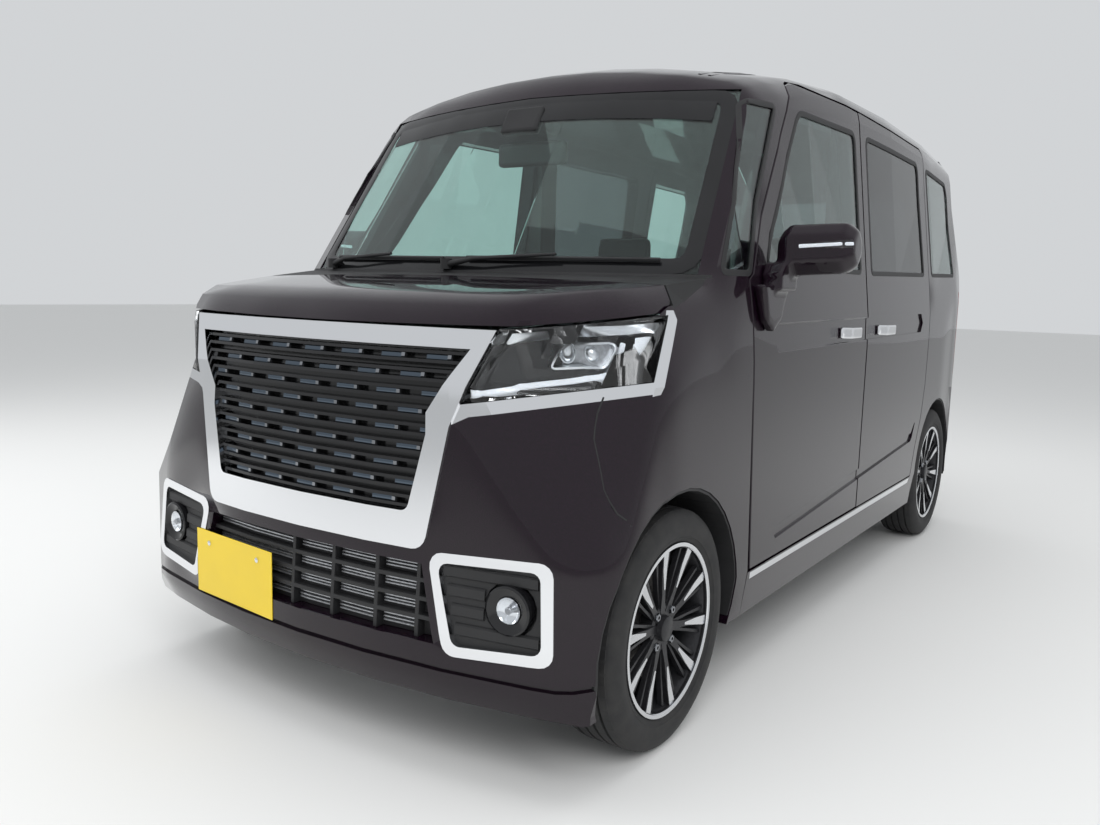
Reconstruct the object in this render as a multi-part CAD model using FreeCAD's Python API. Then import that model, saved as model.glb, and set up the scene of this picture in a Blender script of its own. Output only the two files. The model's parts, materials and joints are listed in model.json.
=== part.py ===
import FreeCAD
import Part
import math
import os

V = FreeCAD.Vector

# Overall sizes, in millimetres. The front of the van faces -Y and its left side is +X.
LENGTH = 3395.0
WIDTH = 1475.0
HEIGHT = 1785.0
WHEELBASE = 2460.0
FRONT_OVERHANG = 475.5
HALF_L = LENGTH / 2
HALF_W = WIDTH / 2
FAR = 1800.0
FRONT_Y = -HALF_L
REAR_Y = HALF_L
FRONT_AXLE_Y = FRONT_Y + FRONT_OVERHANG
REAR_AXLE_Y = FRONT_AXLE_Y + WHEELBASE

# Heights of the body lines
BELT_Z = 1085.0
SILL_Z = 330.0
SKIRT_Z = 195.0
FLOOR_Z = 250.0
FLOOR_T = 40.0
ROOF_Z = HEIGHT

# Wall thicknesses
WALL = 55.0
PANEL = 30.0
GLASS = 5.0
GLASS_SET = 3.0

# Clearances
DOOR_GAP = 6.0
SEAM = 0.3
PIN_PLAY = 0.05

# Chords that stand for an arc on the outside and on the inside of a panel, and for a full circle
ARC_CHORDS = 4
INNER_CHORDS = 2
CIRCLE_SIDES = 36

# Wheels
TYRE_R = 281.0
TYRE_W = 165.0
TRACK = 1295.0
RIM_R = 203.0
BEAD_R = 190.5
ARCH_R = 330.0
WHEEL_X = TRACK / 2
KINGPIN_X = 600.0

# Swing of the front doors
HINGE_X = HALF_W - 3.0
HINGE_Y = -862.0


def arc_points(start, via, end, count):
    """Points that divide the arc from start through via to end into count chords."""
    (ax, ay), (bx, by), (cx, cy) = start, via, end
    d = 2 * (ax * (by - cy) + bx * (cy - ay) + cx * (ay - by))
    a2, b2, c2 = ax * ax + ay * ay, bx * bx + by * by, cx * cx + cy * cy
    ux = (a2 * (by - cy) + b2 * (cy - ay) + c2 * (ay - by)) / d
    uy = (a2 * (cx - bx) + b2 * (ax - cx) + c2 * (bx - ax)) / d
    radius = math.hypot(ax - ux, ay - uy)
    first = math.atan2(ay - uy, ax - ux)
    sweep = math.atan2(cy - uy, cx - ux) - first
    if d < 0:
        sweep = sweep if sweep < 0 else sweep - 2 * math.pi
    else:
        sweep = sweep if sweep > 0 else sweep + 2 * math.pi
    angles = [first + sweep * k / count for k in range(1, count)]
    return [(ux + radius * math.cos(angle), uy + radius * math.sin(angle)) for angle in angles]


def corners(items, chords=ARC_CHORDS):
    """Closed outline of (a, b) corners; a third entry marks a point that an arc passes through."""
    out = []
    for k, item in enumerate(items):
        if len(item) == 2:
            out.append(tuple(item))
            continue
        before = items[k - 1][:2]
        after = items[(k + 1) % len(items)][:2]
        out += arc_points(before, item[:2], after, chords)
    return out


def path(items, place, chords=ARC_CHORDS):
    points = [place(a, b) for a, b in corners(items, chords)]
    return Part.makePolygon(points + points[:1])


def side_prism(items, x0, x1, grow=0.0):
    """Side-view outline of (y, z) corners, extruded across from x0 to x1."""
    wire = path(items, lambda y, z: V(x0, y, z))
    if grow:
        wire = wire.makeOffset2D(grow, 2)
    return Part.Face(wire).extrude(V(x1 - x0, 0, 0))


def front_prism(items, y0, y1, grow=0.0):
    """Front-view outline of (x, z) corners, extruded back from y0 to y1."""
    wire = path(items, lambda x, z: V(x, y0, z))
    if grow:
        wire = wire.makeOffset2D(grow, 2)
    return Part.Face(wire).extrude(V(0, y1 - y0, 0))


def top_prism(items, z0, z1):
    """Plan outline of (x, y) corners, extruded up from z0 to z1."""
    wire = path(items, lambda x, y: V(x, y, z0))
    return Part.Face(wire).extrude(V(0, 0, z1 - z0))


def rounded(items, radius, picks=None):
    """Outline with an arc of a radius at its corners, or only at the picked ones."""
    out = []
    for k, (u, v) in enumerate(items):
        if picks is not None and k not in picks:
            out.append((u, v))
            continue
        (au, av), (bu, bv) = items[k - 1], items[(k + 1) % len(items)]
        to_a, to_b = math.hypot(au - u, av - v), math.hypot(bu - u, bv - v)
        au, av, bu, bv = (au - u) / to_a, (av - v) / to_a, (bu - u) / to_b, (bv - v) / to_b
        half = math.acos(au * bu + av * bv) / 2
        run = radius / math.tan(half)
        mu, mv = au + bu, av + bv
        reach = radius * (1 / math.sin(half) - 1) / math.hypot(mu, mv)
        out += [(u + au * run, v + av * run), (u + mu * reach, v + mv * reach, 1)]
        out.append((u + bu * run, v + bv * run))
    return out


def mirrored(half):
    """Full outline from its +X half, which runs from centre line to centre line."""
    other = [(-p[0],) + tuple(p[1:]) for p in reversed(half)]
    return half + [p for p in other if abs(p[0]) > 1e-6]


def inset_line(items, inset):
    """Open polyline moved to its left by inset, with mitred corners."""
    out = []
    for k, item in enumerate(items):
        normals = []
        for a, b in ((k - 1, k), (k, k + 1)):
            if a >= 0 and b < len(items):
                du = items[b][0] - items[a][0]
                dv = items[b][1] - items[a][1]
                size = math.hypot(du, dv)
                normals.append((-dv / size, du / size))
        nu = sum(n[0] for n in normals)
        nv = sum(n[1] for n in normals)
        scale = inset * 2 / (nu * nu + nv * nv) if len(normals) == 2 else inset
        out.append((item[0] + nu * scale, item[1] + nv * scale) + tuple(item[2:]))
    return out


def mirror(shape):
    return shape.mirror(V(0, 0, 0), V(1, 0, 0))


def both_sides(shape):
    return Part.makeCompound([shape, mirror(shape)])


def box(x0, x1, y0, y1, z0, z1):
    return Part.makeBox(x1 - x0, y1 - y0, z1 - z0, V(x0, y0, z0))


def cyl_x(radius, x0, x1, y, z):
    return Part.makeCylinder(radius, x1 - x0, V(x0, y, z), V(1, 0, 0))


def cyl_z(radius, x, y, z0, z1):
    return Part.makeCylinder(radius, z1 - z0, V(x, y, z0), V(0, 0, 1))


def pipe_y(radius, x, y0, y1, z):
    return front_prism(octagon(radius, x, z), y0, y1)


def octagon(radius, a, b):
    """Corners of an upright octagon whose flats lie at a radius from the centre (a, b)."""
    half = radius * math.tan(math.radians(22.5))
    ring = [(radius, half), (half, radius), (-half, radius), (-radius, half)]
    return [(a + p, b + q) for p, q in ring + [(-p, -q) for p, q in ring]]


def fuse(shapes):
    whole = shapes[0].multiFuse(shapes[1:]) if len(shapes) > 1 else shapes[0]
    return whole.removeSplitter()


# Body envelope: the outer form of the body, set in by a given depth

FOOT_Z = 178.0
BELT_X = 722.0
NOSE_AXIS_Y = 983.0
TAIL_AXIS_Y = -2000.0
NOSE_SPREAD, NOSE_STRIPS = 22.0, 10
TAIL_SPREAD, TAIL_STRIPS = 13.0, 6

# The roof is highest at ROOF_PEAK_Y and falls to both ends by a power law
ROOF_PEAK_Y = 350.0
ROOF_STATION_Y = (-1260.0, -900.0, -600.0, -350.0, 0.0, 500.0, 1100.0, 1760.0)
FRONT_FALL, FRONT_FALL_RUN, FRONT_FALL_POWER = 145.0, 1200.0, 2.6
TAIL_FALL, TAIL_FALL_RUN, TAIL_FALL_POWER = 28.0, 1000.0, 2.2
CORNICE_X = 662.0
CORNICE_NARROWING = 22.0
CORNER_DROP = 165.0
CROWN_DROP = 72.0
CORNER_RUN = 75.0


def lower_body(inset):
    foot_z = FOOT_Z - inset
    side = HALF_W - inset
    half = [(0, foot_z), (side - 20, foot_z), (side - 20, SKIRT_Z), (side, SILL_Z), (side, 880),
            (side - 4, 985), (BELT_X - inset, BELT_Z), (0, BELT_Z)]
    return front_prism(mirrored(half), -FAR, FAR)


def roof_fall(y):
    if y < ROOF_PEAK_Y:
        return FRONT_FALL * ((ROOF_PEAK_Y - y) / FRONT_FALL_RUN) ** FRONT_FALL_POWER
    return TAIL_FALL * ((y - ROOF_PEAK_Y) / TAIL_FALL_RUN) ** TAIL_FALL_POWER


def upper_body(inset):
    chords = INNER_CHORDS if inset >= PANEL else ARC_CHORDS
    rows = []
    for y in ROOF_STATION_Y:
        roof = ROOF_Z - roof_fall(y) - inset
        edge = CORNICE_X - CORNICE_NARROWING * ((y - ROOF_PEAK_Y) / FRONT_FALL_RUN) ** 2 - inset
        crown_x = edge - CORNER_RUN
        half = [(0, BELT_Z), (BELT_X - inset, BELT_Z), (edge, roof - CORNER_DROP),
                (edge - 9, roof - 127), (edge - 34, roof - 92), (crown_x, roof - CROWN_DROP),
                (crown_x / 2, roof - CROWN_DROP / 4, 1), (0, roof)]
        other = [(-p[0],) + tuple(p[1:]) for p in reversed(half)]
        rows.append([V(x, y, z) for x, z in corners(half + other[1:], chords)])
    return between_rows(rows)


def flat_faces(ring):
    """One face where the corners lie flat, or two that meet on the shorter diagonal."""
    if len(ring) == 4:
        a, b, c, d = ring
        normal = (b - a).cross(c - a)
        if abs((d - a).dot(normal)) > 1e-6 * normal.Length:
            rings = ([a, b, c], [a, c, d]) if (c - a).Length < (d - b).Length else ([a, b, d], [b, c, d])
            return [Part.Face(Part.makePolygon(r + r[:1])) for r in rings]
    return [Part.Face(Part.makePolygon(ring + ring[:1]))]


def between_rows(rows, closed=False):
    """Solid with flat faces between rows of points, closed to a loop or with a face at each end."""
    count = len(rows[0])
    faces = []
    pairs = list(zip(rows, rows[1:] + rows[:1])) if closed else list(zip(rows, rows[1:]))
    for a, b in pairs:
        for i in range(count):
            ring = []
            for p in (a[i], a[(i + 1) % count], b[(i + 1) % count], b[i]):
                if not ring or p.distanceToPoint(ring[-1]) > 1e-7:
                    ring.append(p)
            if ring[0].distanceToPoint(ring[-1]) < 1e-7:
                ring.pop()
            if len(ring) > 2:
                faces += flat_faces(ring)
    if not closed:
        faces += [Part.Face(Part.makePolygon(row + row[:1])) for row in (rows[0], rows[-1])]
    solid = Part.makeSolid(Part.makeShell(faces))
    if solid.Volume < 0:
        solid.reverse()
    return solid


def ring_x(profile, sides=CIRCLE_SIDES):
    """Ring with flat sides about the X axis from (x, r) corners; a flat lies at the bottom."""
    rows = []
    for k in range(sides):
        angle = 2 * math.pi * (k + 0.5) / sides
        reach = 1 / math.cos(math.pi / sides)
        rows.append([V(x, r * reach * math.sin(angle), r * reach * math.cos(angle)) for x, r in profile])
    return between_rows(rows, True)


def lathe_cutter(items, axis_y, spread_deg, steps, inset):
    """What lies outside a form turned about a vertical axis, in flat strips, from its (y, z) centre line."""
    line = inset_line(items, -inset) if inset else items
    far_y = axis_y + (line[2][0] - axis_y) * 1.4
    closed = line + [(far_y, line[-1][1]), (far_y, line[0][1])]
    rows = []
    for k in range(steps + 1):
        angle = math.radians(spread_deg) * (2.0 * k / steps - 1)
        rows.append([V(-(y - axis_y) * math.sin(angle), axis_y + (y - axis_y) * math.cos(angle), z)
                     for y, z in closed])
    return between_rows(rows)


NOSE_LINE = [(FRONT_Y + 60, 100), (FRONT_Y, 235), (FRONT_Y, 330), (FRONT_Y + 11.5, 500),
             (FRONT_Y + 30, 850), (FRONT_Y + 62, 972), (FRONT_Y + 82, 1012), (FRONT_Y + 145, 1036),
             (-1146, BELT_Z + 1), (-813, 1610), (-772, 1652), (-700, 1686), (-400, 1770), (0, 1860)]
TAIL_LINE = [(1480, 1850), (1600, 1738), (1640, 1715), (1658, 1670), (1664, 1560), (REAR_Y - 8, 900),
             (REAR_Y, 560), (REAR_Y, 300), (REAR_Y - 90, 100)]

# Plan outlines, front corner only. Columns: z, front corner start, arc point, corner end, side points
PLAN_ROWS = (
    (60.0, (600, -1633), (699, -1588), (HALF_W, -1495), (HALF_W, -1300), (HALF_W, -1000)),
    (514.0, (600, -1633), (699, -1588), (HALF_W, -1495), (HALF_W, -1300), (HALF_W, -1000)),
    (850.0, (310, -1745), (588, -1513), (725, -1355), (HALF_W, -1290), (HALF_W, -1000)),
    (985.0, (410, -1700), (645, -1392), (700, -1246), (722, -1100), (HALF_W, -950)),
    (1065.0, (380, -1690), (608, -1372), (664, -1225), (690, -1080), (725, -900)),
    (1640.0, (380, -1500), (500, -1000), (600, -790), (628, -735), (658, -640)),
    (1900.0, (380, -1500), (500, -1000), (600, -790), (628, -735), (658, -640)),
)


FAR_END = HALF_L + 62.5


def plan_body(inset):
    chords = INNER_CHORDS if inset >= PANEL else ARC_CHORDS
    rows = []
    for z, start, via, end, side_a, side_b in PLAN_ROWS:
        half = [(0, -FAR_END), start, via + (1,), end, side_a, side_b, (HALF_W, 1290), (725, 1500),
                (702, 1610, 1), (630, 1655), (0, FAR_END)]
        line = inset_line(half, inset) if inset else half
        line[0] = (0, line[0][1])
        line[-1] = (0, line[-1][1])
        rows.append([V(x, y, z) for x, y in corners(mirrored(line), chords)])
    return between_rows(rows)


ENVELOPES = {}


def envelope(inset):
    if inset not in ENVELOPES:
        whole = lower_body(inset).fuse(upper_body(inset))
        whole = whole.cut(lathe_cutter(NOSE_LINE, NOSE_AXIS_Y, NOSE_SPREAD, NOSE_STRIPS, inset))
        whole = whole.cut(lathe_cutter(TAIL_LINE, TAIL_AXIS_Y, TAIL_SPREAD, TAIL_STRIPS, inset))
        ENVELOPES[inset] = whole.common(plan_body(inset))
    return ENVELOPES[inset]


def skin(outer, inner):
    return envelope(outer).cut(envelope(inner))


def minus(shape, tools):
    for tool in tools:
        shape = shape.cut(tool)
    return shape


def shifted(depth):
    """The outer form moved back by a depth, for what is set into the nose."""
    moved = envelope(0.0).copy()
    moved.translate(V(0, depth, 0))
    return moved


def nose_layer(zone, front, back):
    """The part of a zone that lies between two depths behind the nose."""
    return shifted(front).common(zone).cut(shifted(back))


# Outlines of the panels, seen from the side as (y, z) or from the front as (x, z)

DOOR_TOP_Z = 1650.0
B_LINE_Y = 110.0
FRONT_DOOR = [(-812, SILL_Z), (-851, 828), (-878, BELT_Z), (-846, BELT_Z + 15), (-482, 1595),
              (-458, 1634), (-412, DOOR_TOP_Z), (B_LINE_Y, DOOR_TOP_Z), (B_LINE_Y, SILL_Z)]
SLIDE_Y = B_LINE_Y + DOOR_GAP + 2
SLIDING_DOOR = [(SLIDE_Y, SILL_Z), (SLIDE_Y, DOOR_TOP_Z), (950, DOOR_TOP_Z - 12), (985, 1625),
                (1000, 1590), (990, 1085), (975, 690), (945, 560), (880, 440), (838, SILL_Z)]
GLASS_LOW_Z = 1132.0
FRONT_WINDOW = [(-735, GLASS_LOW_Z), (-440, 1540), (-415, 1558), (35, 1566), (50, 1550), (50, GLASS_LOW_Z)]
SLIDING_WINDOW = [(185, GLASS_LOW_Z), (185, 1556), (200, 1570), (870, 1566), (888, 1545),
                  (905, GLASS_LOW_Z + 12)]
QUARTER_WINDOW = [(-985, 1106), (-745, 1540), (-600, 1548), (-872, 1106)]
REAR_WINDOW = [(1050, GLASS_LOW_Z + 14), (1050, 1560), (1450, 1545), (1480, 1500),
               (1470, GLASS_LOW_Z + 22)]

WINDSCREEN = [(-656, 1092), (-608, 1578), (0, 1592), (608, 1578), (656, 1092)]
ROOF_EDGE_X = 560.0
HEADER_Y = -860.0
TAIL_EDGE_Y = 1556.0
HOOD_REAR_Y = -1222.0
COWL_HALF = 690.0
HOOD_PLAN = [(-520, -1720), (-668, -1372), (-681, HOOD_REAR_Y), (681, HOOD_REAR_Y), (668, -1372),
             (520, -1720)]
LAMP_TOP = [(-1720, 961), (-1200, 1010)]
LAMP_FRONT = [(428, 812), (489, 962), (500, 1100), (745, 1100), (745, 872), (728, 862)]
LAMP_REAR_LINE = [(-1246, 1000), (-1358, 854)]
# Bright wing that runs under the lamp, seen from the front, and up behind it, seen from the side
WING_UNDER = [(396, 768), (428, 812), (728, 862), (745, 872), (745, 846), (728, 837), (448, 788), (407, 768)]
WING_BEHIND = [(-1246, 1010), (-1358, 854), (-1364, 832), (-1336, 834), (-1222, 990), (-1222, 1010)]
FENDER = [(-819, 200), (-858, 828), (-885, 1100), (-1620, 1100), (-1620, 940), (-1441, 849),
          (-1495, 758), (-1502, 619), (-1428, 540), (-1222, 400), (-940, 200)]

GRILLE_LOW_Z, GRILLE_HIGH_Z = 578.0, 925.0
U_TOP_Z = 965.0
U_OUTER = rounded([(-358, 500), (-408, 765), (-427, 811), (-488, U_TOP_Z), (488, U_TOP_Z), (427, 811),
                   (408, 765), (358, 500)], 36.0, (0, 7))
U_INNER = rounded([(-312, GRILLE_LOW_Z), (-352, 745), (-350, 790), (-438, GRILLE_HIGH_Z),
                   (438, GRILLE_HIGH_Z), (350, 790), (352, 745), (312, GRILLE_LOW_Z)], 20.0, (0, 7))
LOWER_GRILLE = [(-352, 470), (-392, 305), (392, 305), (352, 470)]
FOG_OUTER = rounded([(366, 500), (649, 512), (662, 300), (418, 285)], 30.0)
FOG_INNER = rounded([(392, 480), (624, 490), (636, 323), (438, 309)], 20.0)
FOG_X, FOG_Z, FOG_R = 558.0, 404.0, 45.0

TAIL_LAMP = [(604, 700), (604, 1075), (760, 1075), (760, 700)]
TAIL_LAMP_Y = 1545.0
BUMPER_TOP_Z = 640.0
REAR_BUMPER_LOW_Z = 235.0
REAR_BUMPER = [(1512, REAR_BUMPER_LOW_Z), (1512, 430), (1535, 560), (1500, BUMPER_TOP_Z),
               (1760, BUMPER_TOP_Z), (1760, REAR_BUMPER_LOW_Z)]
TAILGATE_HALF_X = 596.0
TAILGATE_LOW_Z = 548.0
TAIL_WINDOW = [(-515, 1120), (-478, 1540), (478, 1540), (515, 1120)]
HINGE_ROOM = 8.0

SLATS = 9
PLATE_W, PLATE_H, PLATE_X, PLATE_Z = 330.0, 165.0, -255.0, 253.0

# Planes that lie past the body or inside its walls, for cutting zones
CABIN_X, WALL_IN_X, CORNICE_IN_X = 800.0, 300.0, 566.0
NOSE_FRONT_Y, NOSE_BACK_Y, TAIL_IN_Y = -1760.0, -1480.0, 1400.0
HIGH_Z = 1900.0


def ngon(radius, a, b, sides=CIRCLE_SIDES):
    """Corners of a regular outline about (a, b), its flats at the radius."""
    reach = radius / math.cos(math.pi / sides)
    turn = 2 * math.pi / sides
    angles = [turn * (k + 0.5) for k in range(sides)]
    return [(a + reach * math.sin(angle), b + reach * math.cos(angle)) for angle in angles]


def arch_cut(y):
    return side_prism(ngon(ARCH_R, y, TYRE_R), 395.0 if y < 0 else 520.0, CABIN_X)


SLIVER = 20000.0


def solids(shape):
    """The largest solids of a cut, without slivers."""
    keep = [s for s in shape.Solids if s.Volume > SLIVER]
    return keep[0] if len(keep) == 1 else Part.makeCompound(keep)


front_arch = arch_cut(FRONT_AXLE_Y)
rear_arch = arch_cut(REAR_AXLE_Y)
arches = [front_arch, rear_arch, mirror(front_arch), mirror(rear_arch)]


def above_lamps(drop):
    """What lies over the line between the hood and the lamps, less a drop."""
    (y0, z0), (y1, z1) = LAMP_TOP
    return side_prism([(y0, z0 - drop), (y1, z1 - drop), (y1, 1200), (y0, 1200)], -CABIN_X, CABIN_X)


def tail_opening(gap, front_y):
    half = TAILGATE_HALF_X + gap
    low = TAILGATE_LOW_Z - gap
    return front_prism([(-half, low), (-half, HIGH_Z), (half, HIGH_Z), (half, low)], front_y, FAR)


windscreen_zone = front_prism(WINDSCREEN, -1200, -600)
hood_zone = top_prism(HOOD_PLAN, 900, 1150).common(above_lamps(0.0))
hood_room = top_prism([(x + math.copysign(DOOR_GAP, x), y + (DOOR_GAP if y == HOOD_REAR_Y else 0))
                       for x, y in HOOD_PLAN], 900, 1150).common(above_lamps(DOOR_GAP))
lamp_zone = front_prism(LAMP_FRONT, LAMP_TOP[0][0], LAMP_TOP[1][0]).common(
    side_prism([(LAMP_TOP[0][0], 700), (LAMP_TOP[0][0], LAMP_TOP[0][1] - DOOR_GAP)] + LAMP_REAR_LINE
               + [(-1400, 700)], 0, CABIN_X))
wing_zone = fuse([front_prism(WING_UNDER, LAMP_TOP[0][0], WING_BEHIND[3][0]),
                  side_prism(WING_BEHIND, 600, CABIN_X)])
cowl_zone = box(-COWL_HALF, COWL_HALF, HOOD_REAR_Y, -1000, 1000, BELT_Z + 7)
roof_zone = box(-ROOF_EDGE_X, ROOF_EDGE_X, HEADER_Y, TAIL_EDGE_Y, 1500, HIGH_Z).cut(windscreen_zone)
tail_zone = tail_opening(0.0, TAIL_EDGE_Y + HINGE_ROOM)
tail_room = tail_opening(DOOR_GAP, TAIL_EDGE_Y)
tail_lamp_zone = front_prism(TAIL_LAMP, TAIL_LAMP_Y, FAR)
front_door_zone = side_prism(FRONT_DOOR, CORNICE_IN_X, CABIN_X)
front_door_room = side_prism(FRONT_DOOR, WALL_IN_X, CABIN_X, DOOR_GAP)
sliding_door_zone = side_prism(SLIDING_DOOR, CORNICE_IN_X, CABIN_X)
sliding_door_room = side_prism(SLIDING_DOOR, WALL_IN_X, CABIN_X, DOOR_GAP)
rear_bumper_zone = side_prism(REAR_BUMPER, -CABIN_X, CABIN_X)

wall = skin(0.0, WALL)
panel = skin(0.0, PANEL)
glass_skin = skin(GLASS_SET, GLASS_SET + GLASS)


# The band that the handles sit in and the fold low on the doors run through both doors, as (y, z).
# The line over the front lip is as deep.
HANDLE_BAND = [(-722, 936), (-690, 972), (842, 984), (872, 948), (842, 912), (-690, 898)]
LOW_FOLD = [(-663, 411), (803, 508), (846, 545), (858, 545), (822, 486), (803, 474), (-640, 379)]
LIP_LINE = [(-1760, 246), (-1760, 257), (-1300, 266), (-1300, 255)]
PRESS_DEPTH = 7.0
pressing = minus(fuse([side_prism(HANDLE_BAND, 600, CABIN_X), side_prism(LOW_FOLD, 600, CABIN_X)]),
                 [envelope(PRESS_DEPTH)])


def make_roof():
    return solids(wall.common(roof_zone))


def make_windscreen():
    return solids(glass_skin.common(windscreen_zone))


def make_sill_trim():
    """Bright strip let into the sill."""
    low, high = SKIRT_Z + 104, SKIRT_Z + 124
    return solids(skin(0.0, GLASS_SET).common(
        side_prism([(-800, low), (-805, high), (835, high), (825, low)], 600, CABIN_X)))


sill_trim = make_sill_trim()


PILLAR_Y0, PILLAR_Y1, PILLAR_X = 60.0, 165.0, 581.0
HINGE_PILLAR = [(-985, SKIRT_Z + 5), (-985, BELT_Z), (-900, BELT_Z), (-835, SKIRT_Z + 5)]
SIDE_FRONT = [(-818, SKIRT_Z + 5), (-822, SILL_Z - DOOR_GAP - 1), (-700, SILL_Z - DOOR_GAP - 1),
              (-700, BELT_Z + 2), (-1160, BELT_Z + 2), (-1160, HIGH_Z)]
fixed_lights = [side_prism(outline, WALL_IN_X, CABIN_X) for outline in (QUARTER_WINDOW, REAR_WINDOW)]


def make_body_side():
    """Side wall, and the two pillars that stand inside it."""
    rear = ([(FAR, HIGH_Z), (FAR, BUMPER_TOP_Z)] + REAR_BUMPER[3:0:-1]
            + [(REAR_BUMPER[0][0], SKIRT_Z + 5)])
    side = wall.common(side_prism(SIDE_FRONT + rear, 200, CABIN_X))
    side = minus(side, [front_door_room, sliding_door_room])
    pillar_b = envelope(WALL).common(
        box(PILLAR_X, CABIN_X, PILLAR_Y0, PILLAR_Y1, FLOOR_Z + SEAM, DOOR_TOP_Z + 10))
    pillar_b.translate(V(-SEAM, 0, 0))
    side = minus(side, [roof_zone, windscreen_zone, cowl_zone, sill_trim, tail_room, rear_bumper_zone,
                        tail_lamp_zone, rear_arch, front_arch] + fixed_lights)
    pillar_a = skin(PANEL, WALL).common(side_prism(HINGE_PILLAR, WALL_IN_X, CABIN_X)).cut(front_arch)
    return solids(side), solids(pillar_a), solids(pillar_b)


def make_side_glass():
    return [solids(glass_skin.common(light)) for light in fixed_lights]


def make_front_door():
    door = wall.common(front_door_zone)
    return solids(minus(door, [side_prism(FRONT_WINDOW, WALL_IN_X, CABIN_X), pressing]))


def make_sliding_door():
    door = wall.common(sliding_door_zone)
    return solids(minus(door, [side_prism(SLIDING_WINDOW, WALL_IN_X, CABIN_X), pressing]))


def make_front_door_glass():
    return solids(glass_skin.common(side_prism(FRONT_WINDOW, WALL_IN_X, CABIN_X)))


def make_sliding_door_glass():
    return solids(glass_skin.common(side_prism(SLIDING_WINDOW, WALL_IN_X, CABIN_X)))


def make_hood():
    return solids(panel.common(hood_zone))


def make_cowl():
    return solids(minus(panel.common(cowl_zone), [hood_room, windscreen_zone]))


def make_fender():
    zone = side_prism(FENDER, 500, CABIN_X)
    return solids(minus(panel.common(zone), [hood_room, lamp_zone, wing_zone, front_arch, cowl_zone,
                                             box(0, CABIN_X, -1200, -800, BELT_Z + 2, 1300)]))


HOOD_PAD_Y0, HOOD_PAD_Y1, HOOD_PAD_X0, HOOD_PAD_X1 = -1450.0, -1420.0, 560.0, 600.0


def make_head_lamp():
    """Lamp block with the buffer that the closed hood rests on."""
    (y0, z0), (y1, z1) = LAMP_TOP
    slope = (z1 - z0) / (y1 - y0)
    top = [(y, z0 + slope * (y - y0)) for y in (HOOD_PAD_Y0, HOOD_PAD_Y1)]
    pad = side_prism([(y, z - SEAM) for y, z in top] + [(y, z - DOOR_GAP - 4) for y, z in reversed(top)],
                     HOOD_PAD_X0, HOOD_PAD_X1)
    return solids(fuse([wall.common(lamp_zone), skin(PRESS_DEPTH, PANEL).common(pad)]))


BUMPER_SIDE = [(NOSE_FRONT_Y, 100), (NOSE_FRONT_Y, 1000), (-1350, 1000), (-1441, 849), (-1495, 758),
               (-1502, 619), (-1428, 540), (-1480, 100)]


def make_front_bumper():
    lip_line = side_prism(LIP_LINE, -CABIN_X, CABIN_X).cut(envelope(PRESS_DEPTH))
    cuts = [hood_room, lip_line, nose_prism(U_OUTER), nose_prism(LOWER_GRILLE),
            nose_band(-WHEEL_X, WHEEL_X, U_TOP_Z - 10, HIGH_Z)]
    for cut in (lamp_zone, wing_zone, front_arch, nose_prism(FOG_OUTER)):
        cuts += [cut, mirror(cut)]
    return solids(minus(wall.common(side_prism(BUMPER_SIDE, -CABIN_X, CABIN_X)), cuts))


def nose_prism(items):
    return front_prism(items, NOSE_FRONT_Y, NOSE_BACK_Y)


def nose_band(x0, x1, z0, z1):
    return box(x0, x1, NOSE_FRONT_Y, NOSE_BACK_Y, z0, z1)


def recessed(layer, keep, depth):
    """A layer cut back by a depth everywhere but inside the bands that stay proud."""
    zone = minus(nose_band(-500, 500, 200, 1000), keep + [shifted(depth)])
    return layer.cut(zone)


def make_grille_surround():
    """Bright U round the grille with a wing under and behind each lamp."""
    ring = nose_layer(nose_prism(U_OUTER), -6.0, 40.0).cut(nose_prism(U_INNER))
    wing = solids(minus(panel.common(wing_zone), [hood_room, lamp_zone]))
    return solids(fuse([ring, wing, mirror(wing)]))


# Grille rows: two thin slats each, with small blocks set between them, shifted in every other row
ROW_SLATS = ((0.12, 0.30), (0.62, 0.80))
BLOCK_PITCH, BLOCK_W = 118.0, 66.0


def make_grille():
    low = GRILLE_LOW_Z
    pitch = (GRILLE_HIGH_Z - low) / SLATS
    slats = []
    for k in range(SLATS):
        for a, b in ROW_SLATS:
            slats.append(nose_band(-480, 480, low + (k + a) * pitch, low + (k + b) * pitch))
    plate = recessed(nose_layer(nose_prism(U_INNER), 8.0, 40.0), slats, 30.0)
    blocks = []
    for k in range(SLATS):
        first = -4 if k % 2 else -3.5
        for n in range(8 if k % 2 else 7):
            x = (first + n + 0.5) * BLOCK_PITCH
            z = low + k * pitch
            blocks.append(nose_band(x - BLOCK_W / 2, x + BLOCK_W / 2, z + ROW_SLATS[0][1] * pitch - 1,
                                    z + ROW_SLATS[1][0] * pitch + 1))
    inside = nose_prism(U_INNER)
    blocks = nose_layer(Part.makeCompound(blocks).common(inside), 14.0, 32.0)
    return solids(fuse([plate] + blocks.Solids))


def make_lower_grille():
    ribs = [nose_band(-450, 450, z, z + 10) for z in (345, 385, 425)]
    ribs += [nose_band(x, x + 10, 280, 480) for x in (-40, 90, 220, 330)]
    return solids(recessed(nose_layer(nose_prism(LOWER_GRILLE), 14.0, 45.0), ribs, 37.0))


def make_fog_bezel():
    return solids(nose_layer(nose_prism(FOG_OUTER).cut(nose_prism(FOG_INNER)), -2.0, 40.0))


def make_fog_lamp():
    plate = nose_layer(nose_prism(FOG_INNER), 10.0, 40.0)
    drum = nose_prism(ngon(FOG_R, FOG_X, FOG_Z, 16))
    ring = nose_prism(ngon(FOG_R + 12, FOG_X, FOG_Z, 16)).cut(drum)
    return solids(plate.cut(ring.cut(shifted(26.0))))


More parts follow.
